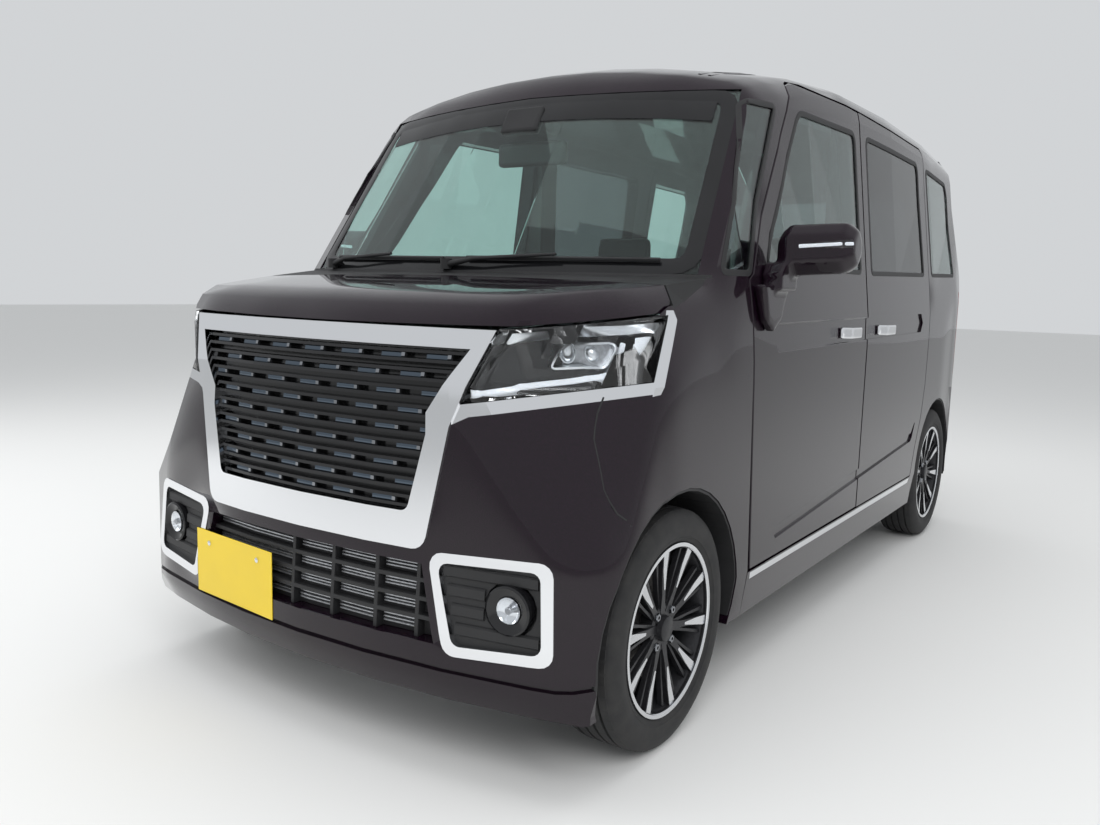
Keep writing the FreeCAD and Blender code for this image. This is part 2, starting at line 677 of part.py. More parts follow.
REAR_PLATE_Z, REAR_PLATE_DEPTH, PLATE_ROOM = 612.0, 14.0, 12.0
PLATE_T = 3.0
tail_light = front_prism(TAIL_WINDOW, TAIL_IN_Y, FAR)


def plate_box(grow, thick):
    """Box as large as the rear plate, grown round its edge, from the recess floor outward."""
    half = PLATE_W / 2 + grow
    floor_y = REAR_Y - REAR_PLATE_DEPTH
    return box(-half, half, floor_y, floor_y + thick, REAR_PLATE_Z - grow, REAR_PLATE_Z + PLATE_H + grow)


def make_tailgate():
    return solids(minus(wall.common(tail_zone), [tail_light, plate_box(PLATE_ROOM, REAR_PLATE_DEPTH)]))


def make_tailgate_glass():
    return solids(glass_skin.common(tail_light))


def make_tail_lamp():
    return solids(wall.common(tail_lamp_zone).cut(tail_room))


def make_rear_bumper():
    bumper = minus(wall.common(rear_bumper_zone), [tail_room, rear_arch, mirror(rear_arch)])
    latch = box(-60, 60, 1652, 1676, TAILGATE_LOW_Z - DOOR_GAP - 4, TAILGATE_LOW_Z - SEAM)
    return solids(fuse([bumper] + [latch]))


# Floor, bulkhead and what stands on them

REAR_FLOOR_Z = 400.0
BOARD_T = 12.0
KICK_Y = 960.0 + SEAM
CABIN_HALF = 720.0
BULKHEAD_Y = -985.0
BULKHEAD_T = 25.0
RAIL_X0, RAIL_X1, RAIL_Z0, RAIL_Z1 = 300.0, 370.0, 330.0, 420.0
BEAM_Y = -1605.0
inside = envelope(WALL)


def make_floor():
    low = FLOOR_Z - FLOOR_T
    profile = [(BULKHEAD_Y, low), (BULKHEAD_Y, 1045), (BULKHEAD_Y + BULKHEAD_T, 1045),
               (BULKHEAD_Y + BULKHEAD_T, FLOOR_Z + 190), (BULKHEAD_Y + 200, FLOOR_Z), (KICK_Y, FLOOR_Z),
               (KICK_Y, REAR_FLOOR_Z), (1700, REAR_FLOOR_Z), (1700, REAR_FLOOR_Z - FLOOR_T),
               (KICK_Y + FLOOR_T, REAR_FLOOR_Z - FLOOR_T), (KICK_Y + FLOOR_T, low)]
    shape = side_prism(profile, -CABIN_HALF, CABIN_HALF).common(inside)
    rail = box(RAIL_X0, RAIL_X1, BEAM_Y + 35, BULKHEAD_Y + 1, RAIL_Z0, RAIL_Z1)
    beam = box(-380, 380, BEAM_Y, BEAM_Y + 36, RAIL_Z0, RAIL_Z1)
    board = box(-500, 500, 1225, 1600, REAR_FLOOR_Z - 1, REAR_FLOOR_Z + BOARD_T)
    shape = fuse([shape, rail, mirror(rail), beam, board])
    return solids(minus(shape, arches))


def make_liner(y, x0):
    """Inner wheel arch: a curved strip over the tyre and a plate on its inner side."""
    outer = side_prism(ngon(ARCH_R - 1, y, TYRE_R), x0, CABIN_X)
    room = side_prism(ngon(ARCH_R - 7, y, TYRE_R), x0 + 6, CABIN_X)
    ring = outer.cut(room).common(box(x0, CABIN_X, y - 400, y + 400, 225, 700))
    return solids(ring.common(envelope(GLASS_SET)))


def make_dashboard():
    profile = [(-960, 560), (-960, 1010), (-905, 1050), (-700, 1024), (-645, 975), (-640, 820),
               (-740, 700), (-760, 600)]
    return side_prism(profile, -655, 655)


SEAT_X0, SEAT_X1 = 60.0, 570.0
REAR_SEAT_X1 = 514.0


def make_seat(y, floor_z, x0=SEAT_X0, x1=SEAT_X1):
    """Cushion, back and head rest on a plinth; y is the cushion's front edge."""
    mid = (x0 + x1) / 2
    cushion = side_prism([(y, 440), (y - 8, 500), (y + 20, 560), (y + 440, 530), (y + 450, 430)], x0, x1)
    back = side_prism([(y + 410, 500), (y + 405, 560), (y + 535, 1090), (y + 620, 1085), (y + 545, 480)],
                      x0 + 10, x1 - 10)
    post = side_prism([(y + 560, 1070), (y + 585, 1140), (y + 603, 1140), (y + 578, 1070)],
                      mid - 60, mid + 60)
    rest = side_prism([(y + 555, 1120), (y + 580, 1275), (y + 640, 1270), (y + 655, 1115)],
                      mid - 125, mid + 125)
    plinth = box(x0 + 40, x1 - 40, y + 60, y + 400, floor_z, 450)
    return fuse([cushion, back, post, rest, plinth])


ENGINE = (-290.0, 290.0, -1550.0, -1080.0, 205.0, 880.0)
COLUMN_X = -340.0
STEER_C = V(COLUMN_X, -500.0, 960.0)
STEER_TILT = -60.0
STEER_R, GRIP_R = 178.0, 14.0
HUB_HALF = 18.0
SHAFT_R = 12.0


def tilted(shape):
    """A shape made about +Z at the origin, turned into the steering column's place."""
    shape.rotate(V(0, 0, 0), V(1, 0, 0), STEER_TILT)
    shape.translate(STEER_C)
    return shape


def make_steering_wheel():
    ring = ring_x([(a, STEER_R + b) for a, b in ngon(GRIP_R, 0, 0, 6)], 24)
    ring.rotate(V(0, 0, 0), V(0, 1, 0), 90)
    hub = top_prism(ngon(52, 0, 0, 16), -HUB_HALF, HUB_HALF + 8)
    spokes = [box(-STEER_R, STEER_R, -14, 14, -6, 6), box(-14, 14, -STEER_R, 0, -6, 6)]
    wheel = fuse([ring, hub] + spokes).cut(cyl_z(SHAFT_R + PIN_PLAY, 0, 0, -60, HUB_HALF))
    return tilted(wheel)


def make_column():
    tube = top_prism(octagon(26, 0, 0), -260, -HUB_HALF - DOOR_GAP)
    shaft = cyl_z(SHAFT_R, 0, 0, -60, HUB_HALF - 1)
    return tilted(fuse([tube, shaft]))


# Wheels. A wheel is made about the X axis, outboard towards +X, and put at its place.

BEAD_X = 68.0
HUB_FACE = 35.0
HUB_BORE_R = 15.0
SPOKES = 10


def make_tyre():
    half = TYRE_W / 2
    return ring_x([(-BEAD_X, BEAD_R), (-BEAD_X, RIM_R + 1), (-half, 238), (-half + 19, TYRE_R),
                   (half - 19, TYRE_R), (half, 238), (BEAD_X, RIM_R + 1), (BEAD_X, BEAD_R)])


def make_rim():
    well = BEAD_R - 12
    edge = BEAD_X + 6
    barrel = ring_x([(-edge, well), (-edge, RIM_R), (-BEAD_X, RIM_R), (-BEAD_X, BEAD_R), (BEAD_X, BEAD_R),
                     (BEAD_X, RIM_R), (edge, RIM_R), (edge, RIM_R - 7), (edge - 14, well)])
    spoke = path([(HUB_FACE, 45), (60, 45), (70, well + 4), (46, well + 4)], lambda x, z: V(x, -11, z))
    spoke = Part.Face(spoke).extrude(V(0, 22, 0))
    pieces = [barrel, side_prism(ngon(64, 0, 0, 20), HUB_FACE, 60)]
    for k in range(SPOKES):
        another = spoke.copy()
        another.rotate(V(0, 0, 0), V(1, 0, 0), 360.0 / SPOKES * k)
        pieces.append(another)
    return fuse(pieces)


def make_front_hub():
    disc = side_prism(ngon(120, 0, 0, 24), 5, 18)
    hub = side_prism(ngon(55, 0, 0, 16), 5, HUB_FACE)
    return fuse([disc, hub]).cut(cyl_x(HUB_BORE_R + PIN_PLAY, 0, 50, 0, 0))


def make_rear_drum():
    return side_prism(ngon(105, 0, 0, 24), -15, HUB_FACE).cut(cyl_x(HUB_BORE_R + PIN_PLAY, -20, 50, 0, 0))


def at_wheel(shape, y):
    left = shape.copy()
    left.translate(V(WHEEL_X, y, TYRE_R))
    return left


STUD_R = 11.0
KNUCKLE_X0, KNUCKLE_X1 = 583.0, 622.0
KNUCKLE_LOW, KNUCKLE_HIGH = TYRE_R - 85.0, TYRE_R + 90.0
ARM_GAP = 6.0
ARM_T = 17.0
STUD_DEPTH = 28.0
STRUT_X = 470.0
STUB_END_X = WHEEL_X + HUB_FACE - SEAM


def make_knuckle():
    block = box(KNUCKLE_X0, KNUCKLE_X1, FRONT_AXLE_Y - 32, FRONT_AXLE_Y + 32, KNUCKLE_LOW, KNUCKLE_HIGH)
    stub = cyl_x(HUB_BORE_R, KNUCKLE_X1 - 1, STUB_END_X, FRONT_AXLE_Y, TYRE_R)
    bore = STUD_R + PIN_PLAY
    holes = [cyl_z(bore, KINGPIN_X, FRONT_AXLE_Y, KNUCKLE_LOW - 1, KNUCKLE_LOW + STUD_DEPTH + SEAM),
             cyl_z(bore, KINGPIN_X, FRONT_AXLE_Y, KNUCKLE_HIGH - STUD_DEPTH - SEAM, KNUCKLE_HIGH + 1)]
    return minus(fuse([block, stub]), holes)


def make_front_suspension():
    y = FRONT_AXLE_Y
    low, high = KNUCKLE_LOW - ARM_GAP, KNUCKLE_HIGH + ARM_GAP
    cross = box(-340, 340, y - 40, y + 40, 165, ENGINE[4])
    lower = box(330, KINGPIN_X + 16, y - 22, y + 22, low - ARM_T, low)
    upper = box(STRUT_X, KINGPIN_X + 16, y - 16, y + 16, high, high + ARM_T)
    strut = top_prism(octagon(21, STRUT_X, y), low - ARM_T, TYRE_R + ARCH_R - 7 - SEAM)
    studs = [cyl_z(STUD_R, KINGPIN_X, y, low - 1, KNUCKLE_LOW + STUD_DEPTH),
             cyl_z(STUD_R, KINGPIN_X, y, KNUCKLE_HIGH - STUD_DEPTH, high + 1)]
    leg = fuse([lower, upper, strut] + studs)
    return fuse([cross, leg, mirror(leg)])


AXLE_R = 27.0


def make_rear_axle():
    y = REAR_AXLE_Y
    beam = side_prism(octagon(AXLE_R, y, TYRE_R), -610, 610)
    stub = cyl_x(HUB_BORE_R, 600, STUB_END_X, y, TYRE_R)
    low = FLOOR_Z - FLOOR_T - SEAM
    arm = side_prism([(880, low), (880, low - 30), (y + 10, TYRE_R - 18), (y + 10, TYRE_R + 18),
                      (1012, low)], 470, 500)
    spring = top_prism(octagon(38, 420, y), TYRE_R, REAR_FLOOR_Z - FLOOR_T - SEAM)
    return fuse([beam, stub, mirror(stub), arm, mirror(arm), spring, mirror(spring)])


PIPE_X, PIPE_R = -150.0, 20.0


def make_exhaust():
    z = FLOOR_Z - FLOOR_T - PIPE_R - SEAM
    pipe = pipe_y(PIPE_R, PIPE_X, -860, 1350, z)
    silencer = box(-440, -100, 1330, 1500, z - 15, z + 110)
    hanger = box(-290, -250, 1400, 1430, z + 100, REAR_FLOOR_Z - FLOOR_T - SEAM)
    tail = pipe_y(PIPE_R, -400, 1490, 1640, z + 20)
    return fuse([pipe, silencer, hanger, tail])


def make_fuel_tank():
    return box(-60, 460, 150, 780, 165, FLOOR_Z - FLOOR_T - SEAM)


# Mirrors, handles, spoiler and plate

# Mirror housing sections. Columns: x, front y, rear y, low z, high z, corner cut
MIRROR_SECTIONS = (
    (738.0, -752.0, -668.0, 1108.0, 1206.0, 26.0),
    (765.0, -766.0, -650.0, 1098.0, 1228.0, 30.0),
    (905.0, -748.0, -646.0, 1106.0, 1232.0, 30.0),
    (928.0, -722.0, -652.0, 1126.0, 1212.0, 26.0),
)


def chamfered(y0, y1, z0, z1, cut):
    return [(y0 + cut, z0), (y1 - cut, z0), (y1, z0 + cut), (y1, z1 - cut),
            (y1 - cut, z1), (y0 + cut, z1), (y0, z1 - cut), (y0, z0 + cut)]


def make_mirror():
    shell = between_rows([[V(x, y, z) for y, z in chamfered(y0, y1, z0, z1, cut)]
                          for x, y0, y1, z0, z1, cut in MIRROR_SECTIONS])
    foot = side_prism([(-868, 1074), (-838, 985), (-790, 955), (-742, 985), (-700, 1074)], 690, 760)
    neck = side_prism([(-800, 1060), (-800, 1100), (-770, 1130), (-690, 1130), (-690, 1060)], 690, 775)
    return solids(fuse([shell, foot, neck]).cut(envelope(0.0)))


HANDLE_Z, HANDLE_H, HANDLE_OUT = 934.0, 34.0, 26.0


def make_handle(y0, y1):
    """Bar that bows out from the door's recess; its outline is a plan view."""
    x = HALF_W + 2
    plan = [(702, y0), (x, y0), (x + HANDLE_OUT, y0 + 22), (x + HANDLE_OUT, y1 - 22), (x, y1), (702, y1)]
    grip = top_prism(plan, HANDLE_Z - HANDLE_H / 2, HANDLE_Z + HANDLE_H / 2)
    return solids(grip.cut(envelope(PRESS_DEPTH)))


def make_spoiler():
    """Blade that carries the roof's crown on past the tailgate's top."""
    front_y, back_y, half, thick = 1588.0, 1694.0, 588.0, 34.0
    top = ROOF_Z - roof_fall(front_y) - 1.0
    band = [(0, top), (half / 2, top - CROWN_DROP / 4, 1), (half, top - CROWN_DROP),
            (half, top - CROWN_DROP - thick), (half / 2, top - CROWN_DROP / 4 - thick, 1), (0, top - thick)]
    blade = front_prism(band, front_y, back_y)
    blade.rotate(V(0, front_y, top), V(1, 0, 0), -12)
    blade = blade.cut(envelope(0.0))
    return solids(fuse([blade, mirror(blade)]))


PLATE_ANGLE = 5.4
PLATE_Y = -1681.0


def plate_block(grow, thick):
    block = box(-PLATE_W / 2 - grow, PLATE_W / 2 + grow, -thick, 0, -grow, PLATE_H + grow)
    block.rotate(V(0, 0, 0), V(0, 0, 1), -PLATE_ANGLE)
    block.translate(V(PLATE_X, PLATE_Y + PLATE_T, PLATE_Z))
    return block


def make_rear_plate():
    """Blank plate in the tailgate's recess."""
    plate = plate_box(0.0, PLATE_T)
    plate.translate(V(0, SEAM, 0))
    return plate


STEPS = {}


def add(name, shape):
    STEPS[name] = shape


def add_pair(name, shape):
    STEPS[name + "_left"] = shape
    STEPS[name + "_right"] = mirror(shape)


def build():
    add("roof_panel", make_roof())
    side, pillar_a, pillar_b = make_body_side()
    add_pair("body_side", side)
    add("door_pillars", Part.makeCompound([p for q in (pillar_a, pillar_b) for p in both_sides(q).Solids]))
    add("floor_pan", make_floor())
    add("cowl_panel", make_cowl())
    add("hood", make_hood())
    add_pair("front_fender", make_fender())
    plate_room = plate_block(1.0, 60.0)
    add("front_bumper", make_front_bumper().cut(plate_room))
    add("grille_surround", make_grille_surround())
    add("grille", make_grille())
    add("lower_grille", make_lower_grille().cut(plate_room))
    add("front_plate", plate_block(0.0, PLATE_T))
    add("fog_bezels", both_sides(make_fog_bezel()).cut(plate_room))
    add("fog_lamps", both_sides(make_fog_lamp()))
    add("head_lamps", both_sides(make_head_lamp()))
    glass = [make_windscreen()]
    for light in make_side_glass():
        glass += [light, mirror(light)]
    add("fixed_glass", Part.makeCompound(glass))
    add_pair("sliding_door", make_sliding_door())
    add("sliding_door_glass", both_sides(make_sliding_door_glass()))
    add_pair("front_door", make_front_door())
    add_pair("front_door_glass", make_front_door_glass())
    add_pair("door_mirror", make_mirror())
    add_pair("front_handle", make_handle(-165, -25))
    add("sliding_handles", both_sides(make_handle(240, 380)))
    add("tailgate", Part.makeCompound([make_tailgate(), make_spoiler()]))
    add("tailgate_glass", make_tailgate_glass())
    add("rear_plate", make_rear_plate())
    add("tail_lamps", both_sides(make_tail_lamp()))
    add("rear_bumper", make_rear_bumper())
    add("sill_trims", both_sides(sill_trim))
    liners = [both_sides(make_liner(FRONT_AXLE_Y, 395.0)), both_sides(make_liner(REAR_AXLE_Y, 520.0))]
    axle_room = side_prism(octagon(AXLE_R + DOOR_GAP, REAR_AXLE_Y, TYRE_R), -600, 600)
    add("arch_liners", Part.makeCompound([liner.cut(axle_room) for liner in liners]))
    column = make_column()
    add("dashboard", fuse([make_dashboard(), column]))
    add("steering_wheel", make_steering_wheel())
    add("front_seats", both_sides(make_seat(-330.0, FLOOR_Z)))
    add("rear_seats", both_sides(make_seat(560.0, FLOOR_Z, x1=REAR_SEAT_X1)))
    add("engine_block", box(*ENGINE))
    add("front_suspension", make_front_suspension())
    add("rear_axle", make_rear_axle())
    add("exhaust", make_exhaust())
    add("fuel_tank", make_fuel_tank())
    add_pair("knuckle", make_knuckle())
    for end, y, brake_name, brake in (("front", FRONT_AXLE_Y, "brake_disc", make_front_hub()),
                                      ("rear", REAR_AXLE_Y, "brake_drum", make_rear_drum())):
        add_pair("tyre_" + end, at_wheel(make_tyre(), y))
        add_pair("rim_" + end, at_wheel(make_rim(), y))
        add_pair(brake_name, at_wheel(brake, y))


build()
os.makedirs("parts", exist_ok=True)
for name, shape in STEPS.items():
    shape.exportStep("parts/" + name + ".step")
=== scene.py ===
"""Kei van: materials, lights, camera and the detailed pieces that stand on the CAD frame.

Sizes are in metres. The front looks toward -Y, and +X is the car's left.
"""
import json
from math import ceil, cos, pi, radians, sin, sqrt

import bmesh
import bpy
import numpy as np
from mathutils import Matrix, Vector
from mathutils.bvhtree import BVHTree


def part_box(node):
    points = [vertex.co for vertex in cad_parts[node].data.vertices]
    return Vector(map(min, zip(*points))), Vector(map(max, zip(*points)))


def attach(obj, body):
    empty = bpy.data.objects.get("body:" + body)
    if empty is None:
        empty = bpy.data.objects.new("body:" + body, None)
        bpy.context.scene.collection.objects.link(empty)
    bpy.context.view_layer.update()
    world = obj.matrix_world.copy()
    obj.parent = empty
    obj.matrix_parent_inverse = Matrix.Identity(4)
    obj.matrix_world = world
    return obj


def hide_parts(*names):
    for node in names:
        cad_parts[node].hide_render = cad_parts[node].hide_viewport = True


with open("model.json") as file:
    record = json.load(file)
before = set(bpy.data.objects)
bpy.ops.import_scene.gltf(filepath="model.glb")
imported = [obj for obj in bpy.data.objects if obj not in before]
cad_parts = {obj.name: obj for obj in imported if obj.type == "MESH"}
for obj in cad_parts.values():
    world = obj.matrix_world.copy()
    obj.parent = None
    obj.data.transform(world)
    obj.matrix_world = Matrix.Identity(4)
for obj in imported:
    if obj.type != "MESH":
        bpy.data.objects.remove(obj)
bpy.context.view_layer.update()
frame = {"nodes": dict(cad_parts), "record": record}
nodes = frame["nodes"]
SIDES = (("left", 1), ("right", -1))


def new_object(name, data):
    made = bpy.data.objects.new(name, data)
    bpy.context.scene.collection.objects.link(made)
    return made


def both_sides(add):
    for hand, side in SIDES:
        add(hand, side)


# Camera, fitted to the wheels, the plate and mirrored corners of the front

AZIMUTH, ELEVATION, ROLL = radians(34.47), radians(7.7), radians(1.5)
LENS, SENSOR, CLIP_START = 30.689, 36, 0.05
CAMERA_AT = Vector((1.65109, -3.09167, 1.05693))


def add_camera():
    back = Vector((sin(AZIMUTH) * cos(ELEVATION), -cos(AZIMUTH) * cos(ELEVATION),
                   sin(ELEVATION)))
    right = (-back).cross(Vector((0, 0, 1))).normalized()
    up = right.cross(-back)
    across = cos(ROLL) * right + sin(ROLL) * up
    along = -sin(ROLL) * right + cos(ROLL) * up
    data = bpy.data.cameras.new("camera")
    data.lens, data.sensor_width, data.clip_start = LENS, SENSOR, CLIP_START
    camera = new_object("camera", data)
    camera.matrix_world = Matrix((across, along, back)).transposed().to_4x4()
    camera.location = CAMERA_AT
    bpy.context.scene.camera = camera


# Materials


def bsdf_of(material):
    return material.node_tree.nodes["Principled BSDF"]


def shader(name, color, roughness=0.5, metallic=0.0, **extra):
    """New material with constant values set on its shader's sockets."""
    material = bpy.data.materials.new(name)
    material.use_nodes = True
    sockets = bsdf_of(material).inputs
    sockets["Base Color"].default_value = (*color, 1)
    sockets["Roughness"].default_value = roughness
    sockets["Metallic"].default_value = metallic
    for socket, value in extra.items():
        sockets[socket.replace("_", " ")].default_value = value
    return material


def node(material, kind, **values):
    made = material.node_tree.nodes.new(kind)
    for key, value in values.items():
        if key in made.inputs:
            made.inputs[key].default_value = value
        else:
            setattr(made, key, value)
    return made


def link(material, source, target):
    material.node_tree.links.new(source, target)


def texture(material, kind, **values):
    """Texture in the object's own space, which moves with the piece."""
    made = node(material, kind, **values)
    link(material, node(material, "ShaderNodeTexCoord").outputs["Object"], made.inputs["Vector"])
    return made


def noise(material, scale, detail):
    return texture(material, "ShaderNodeTexNoise", Scale=scale, Detail=detail, Roughness=0.6).outputs["Fac"]


def tint(material, source, stops):
    """Base colour that follows a value, by (value, colour) stops."""
    made = node(material, "ShaderNodeValToRGB")
    while len(made.color_ramp.elements) < len(stops):
        made.color_ramp.elements.new(0.5)
    for element, (place, color) in zip(made.color_ramp.elements, stops):
        element.position = place
        element.color = (*color, 1)
    link(material, source, made.inputs["Fac"])
    link(material, made.outputs["Color"], bsdf_of(material).inputs["Base Color"])


def bump(material, source, strength, distance):
    made = node(material, "ShaderNodeBump", Strength=strength, Distance=distance)
    link(material, source, made.inputs["Height"])
    link(material, made.outputs["Normal"], bsdf_of(material).inputs["Normal"])


def rough_from(material, source, low, high):
    spread_out = node(material, "ShaderNodeMapRange")
    spread_out.inputs["To Min"].default_value = low
    spread_out.inputs["To Max"].default_value = high
    link(material, source, spread_out.inputs["Value"])
    link(material, spread_out.outputs["Result"], bsdf_of(material).inputs["Roughness"])


def scaled(color, factor):
    return tuple(min(1.0, c * factor) for c in color)


def car_paint():
    """Near-black purple pearl with fine flakes, under clear coat."""
    made = shader("paint_plum", (0.006, 0.003, 0.006), 0.4, Coat_Weight=1.0, Coat_Roughness=0.015,
                  Coat_IOR=1.42, Specular_IOR_Level=0.05)
    flakes = texture(made, "ShaderNodeTexVoronoi", Scale=2600.0)
    tint(made, flakes.outputs["Color"], ((0.0, (0.0018, 0.0009, 0.002)), (0.6, (0.005, 0.0018, 0.0048)),
                                         (1.0, (0.03, 0.01, 0.026))))
    return made


def moulded(name, color, roughness, scale=900.0, strength=0.25, spread=0.2):
    """Grained plastic whose tone varies by a spread."""
    made = shader(name, color, roughness)
    patches = noise(made, 6.0, 3.0)
    tint(made, patches, ((0.3, scaled(color, 1 - spread)), (0.7, scaled(color, 1 + spread))))
    bump(made, noise(made, scale, 3.0), strength, 0.0004)
    rough_from(made, patches, roughness - 0.06, roughness + 0.08)
    return made


def bright(name, color, roughness):
    """Polished metal with faint smears."""
    made = shader(name, color, roughness, 1.0)
    rough_from(made, noise(made, 14.0, 4.0), max(0.02, roughness - 0.03), roughness + 0.05)
    return made


def glazing(name, color, weight=1.0, roughness=0.0):
    """Clear or tinted glass under a faint film."""
    made = shader(name, color, roughness, Transmission_Weight=weight, IOR=1.45)
    tint(made, noise(made, 5.0, 3.0), ((0.3, color), (0.8, scaled(color, 1.06))))
    return made


def cast_metal(name, color, roughness, metallic=0.8):
    made = shader(name, color, roughness, metallic)
    skin = noise(made, 120.0, 6.0)
    tint(made, skin, ((0.3, scaled(color, 0.7)), (0.7, scaled(color, 1.2))))
    bump(made, skin, 0.35, 0.0006)
    return made


def rubber():
    """Dusty tyre rubber."""
    made = shader("tyre_rubber", (0.018, 0.018, 0.019), 0.72)
    dust = noise(made, 22.0, 6.0)
    tint(made, dust, ((0.35, (0.014, 0.014, 0.015)), (0.75, (0.034, 0.033, 0.032))))
    bump(made, noise(made, 700.0, 2.0), 0.2, 0.0005)
    rough_from(made, dust, 0.62, 0.85)
    return made


def woven():
    """Dark seat cloth with a fine weave."""
    made = shader("seat_cloth", (0.03, 0.03, 0.032), 0.9, Sheen_Weight=0.3)
    both = node(made, "ShaderNodeMath", operation="MULTIPLY")
    for k, direction in enumerate("XZ"):
        wave = texture(made, "ShaderNodeTexWave", bands_direction=direction, Scale=260.0, Distortion=1.0)
        link(made, wave.outputs["Fac"], both.inputs[k])
    tint(made, both.outputs["Value"], ((0.0, (0.018, 0.018, 0.02)), (1.0, (0.055, 0.054, 0.056))))
    bump(made, both.outputs["Value"], 0.4, 0.0008)
    return made


PAINT = car_paint()
CHROME = bright("bright_chrome", (0.83, 0.84, 0.86), 0.05)
DARK_CHROME = bright("dark_chrome", (0.3, 0.31, 0.33), 0.12)
ALLOY = bright("alloy_machined", (0.74, 0.75, 0.77), 0.2)
GEM = bright("grille_gem", (0.1, 0.125, 0.155), 0.1)
REFLECTOR = bright("reflector", (0.86, 0.88, 0.9), 0.28)
BLACK = moulded("black_grain", (0.018, 0.018, 0.019), 0.55)
GLOSS = moulded("black_gloss", (0.008, 0.008, 0.009), 0.14, 40.0, 0.02)
LINER = moulded("liner_grain", (0.022, 0.022, 0.023), 0.8, 300.0, 0.4)
LINING = moulded("lining_grey", (0.16, 0.155, 0.15), 0.85, 500.0, 0.3)
PLATE = moulded("plate_yellow", (0.86, 0.62, 0.03), 0.35, 60.0, 0.05, 0.03)
CLEAR = glazing("glass_green", (0.62, 0.8, 0.76))
PRIVACY = glazing("glass_dark", (0.1, 0.115, 0.12))
LENS_CLEAR = glazing("lens_clear", (0.93, 0.95, 0.97))
LENS_SMOKE = glazing("lens_smoke", (0.42, 0.42, 0.46))
LENS_RED = glazing("lens_red", (0.55, 0.01, 0.012), 0.75, 0.05)
LENS_AMBER = glazing("lens_amber", (0.8, 0.32, 0.03), 0.8, 0.05)
RUBBER = rubber()
CLOTH = woven()
ALLOY_DARK = cast_metal("alloy_dark", (0.03, 0.03, 0.033), 0.35, 0.5)
IRON = cast_metal("iron", (0.16, 0.155, 0.15), 0.5)
STEEL_PAINT = cast_metal("steel_black", (0.02, 0.02, 0.021), 0.5, 0.2)
EXHAUST = cast_metal("exhaust_steel", (0.36, 0.33, 0.3), 0.42)
ENGINE = cast_metal("engine_alloy", (0.42, 0.42, 0.43), 0.5)
SILVER = cast_metal("silver_plastic", (0.42, 0.43, 0.45), 0.3, 0.6)
LED_WHITE = shader("led_white", (0.85, 0.88, 0.92), 0.25, Emission_Color=(0.9, 0.95, 1.0, 1),
                   Emission_Strength=0.3)

SLOT_MATERIAL = dict(
    body_paint=PAINT, black_trim=BLACK, gloss_black=GLOSS, bright_trim=CHROME, underbody=LINER,
    plate_paint=PLATE, lamp_lens=LENS_SMOKE, clear_glass=CLEAR, dark_glass=PRIVACY, seat_fabric=CLOTH,
    engine_alloy=ENGINE, chassis_steel=STEEL_PAINT, exhaust_steel=EXHAUST, cast_knuckle=IRON,
    tyre_rubber=RUBBER, wheel_alloy=ALLOY_DARK)


# Mesh helpers

EDGE_DEG, PANEL_DEG, TRIM_DEG, BAR_DEG = 35.0, 26.0, 40.0, 50.0
BEVEL_DEG = 32.0
CREST, SHOULDER = 0.7, 0.4


def add_object(name, mesh, material, body):
    piece = new_object(name, mesh)
    mesh.materials.append(material)
    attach(piece, body)
    return piece


def mesh_from(name, bm):
    mesh = bpy.data.meshes.new(name)
    bmesh.ops.recalc_face_normals(bm, faces=bm.faces)
    bm.to_mesh(mesh)
    bm.free()
    mesh.shade_smooth()
    return mesh


def from_bmesh(name, bm, material, body="body", smooth_deg=EDGE_DEG):
    """Piece whose edges are sharp above an angle and smooth below it."""
    mesh = mesh_from(name, bm)
    mesh.set_sharp_from_angle(angle=radians(smooth_deg))
    return add_object(name, mesh, material, body)


def bevel(piece, width, segments):
    made = piece.modifiers.new("edges", "BEVEL")
    made.width = width
    made.segments = segments
    made.limit_method = "ANGLE"
    made.angle_limit = radians(BEVEL_DEG)


def spread(low, high, parts):
    return [low + (high - low) * i / parts for i in range(parts + 1)]


def turns(count, shift=0.0):
    """Angles at even steps round a circle."""
    return [2 * pi * (k + shift) / count for k in range(count)]


def mirrored(points, side):
    return [(x * side, z) for x, z in points]


def at(value, k):
    return value[k] if isinstance(value, (list, tuple)) else value


def bridge(bm, rows, loop=False, ends=False, split=False):
    """Faces between rows of points; a row of one point is a tip. loop joins the last row to the first, ends
    closes both, and split leaves each row open between its last point and its first."""
    rows = [[bm.verts.new(point) for point in row] for row in rows]
    count = max(len(row) for row in rows)
    for a, b in zip(rows, rows[1:] + rows[:1] if loop else rows[1:]):
        for i in range(count - split):
            j = (i + 1) % count
            corners = dict.fromkeys((a[i % len(a)], a[j % len(a)], b[j % len(b)], b[i % len(b)]))
            if len(corners) > 2:
                bm.faces.new(list(corners))
    if ends:
        bm.faces.new(rows[0][::-1])
        bm.faces.new(rows[-1])
    return rows


def loft(name, rows, material, body="body", smooth_deg=TRIM_DEG, **how):
    bm = bmesh.new()
    bridge(bm, rows, **how)
    return from_bmesh(name, bm, material, body, smooth_deg)


def strip(bm, spots, widths, lift, sink, closed=False):
    """Flat strip along (point, normal) spots, lift proud of the skin and sink deep."""
    spots = [spot for spot in spots if spot[0] is not None]
    side = ((-1, -sink), (-1, lift * SHOULDER), (-CREST, lift))
    section = side + tuple((-a, b) for a, b in side[::-1])
    count, rows = len(spots), []
    for k, (point, normal) in enumerate(spots):
        before = spots[k - 1][0] if k or closed else point
        after = spots[(k + 1) % count][0] if k + 1 < count or closed else point
        across = normal.cross((after - before).normalized()).normalized()
        half = at(widths, k) / 2
        rows.append([point + across * (half * a) + normal * b for a, b in section])
    bridge(bm, rows, closed, not closed)


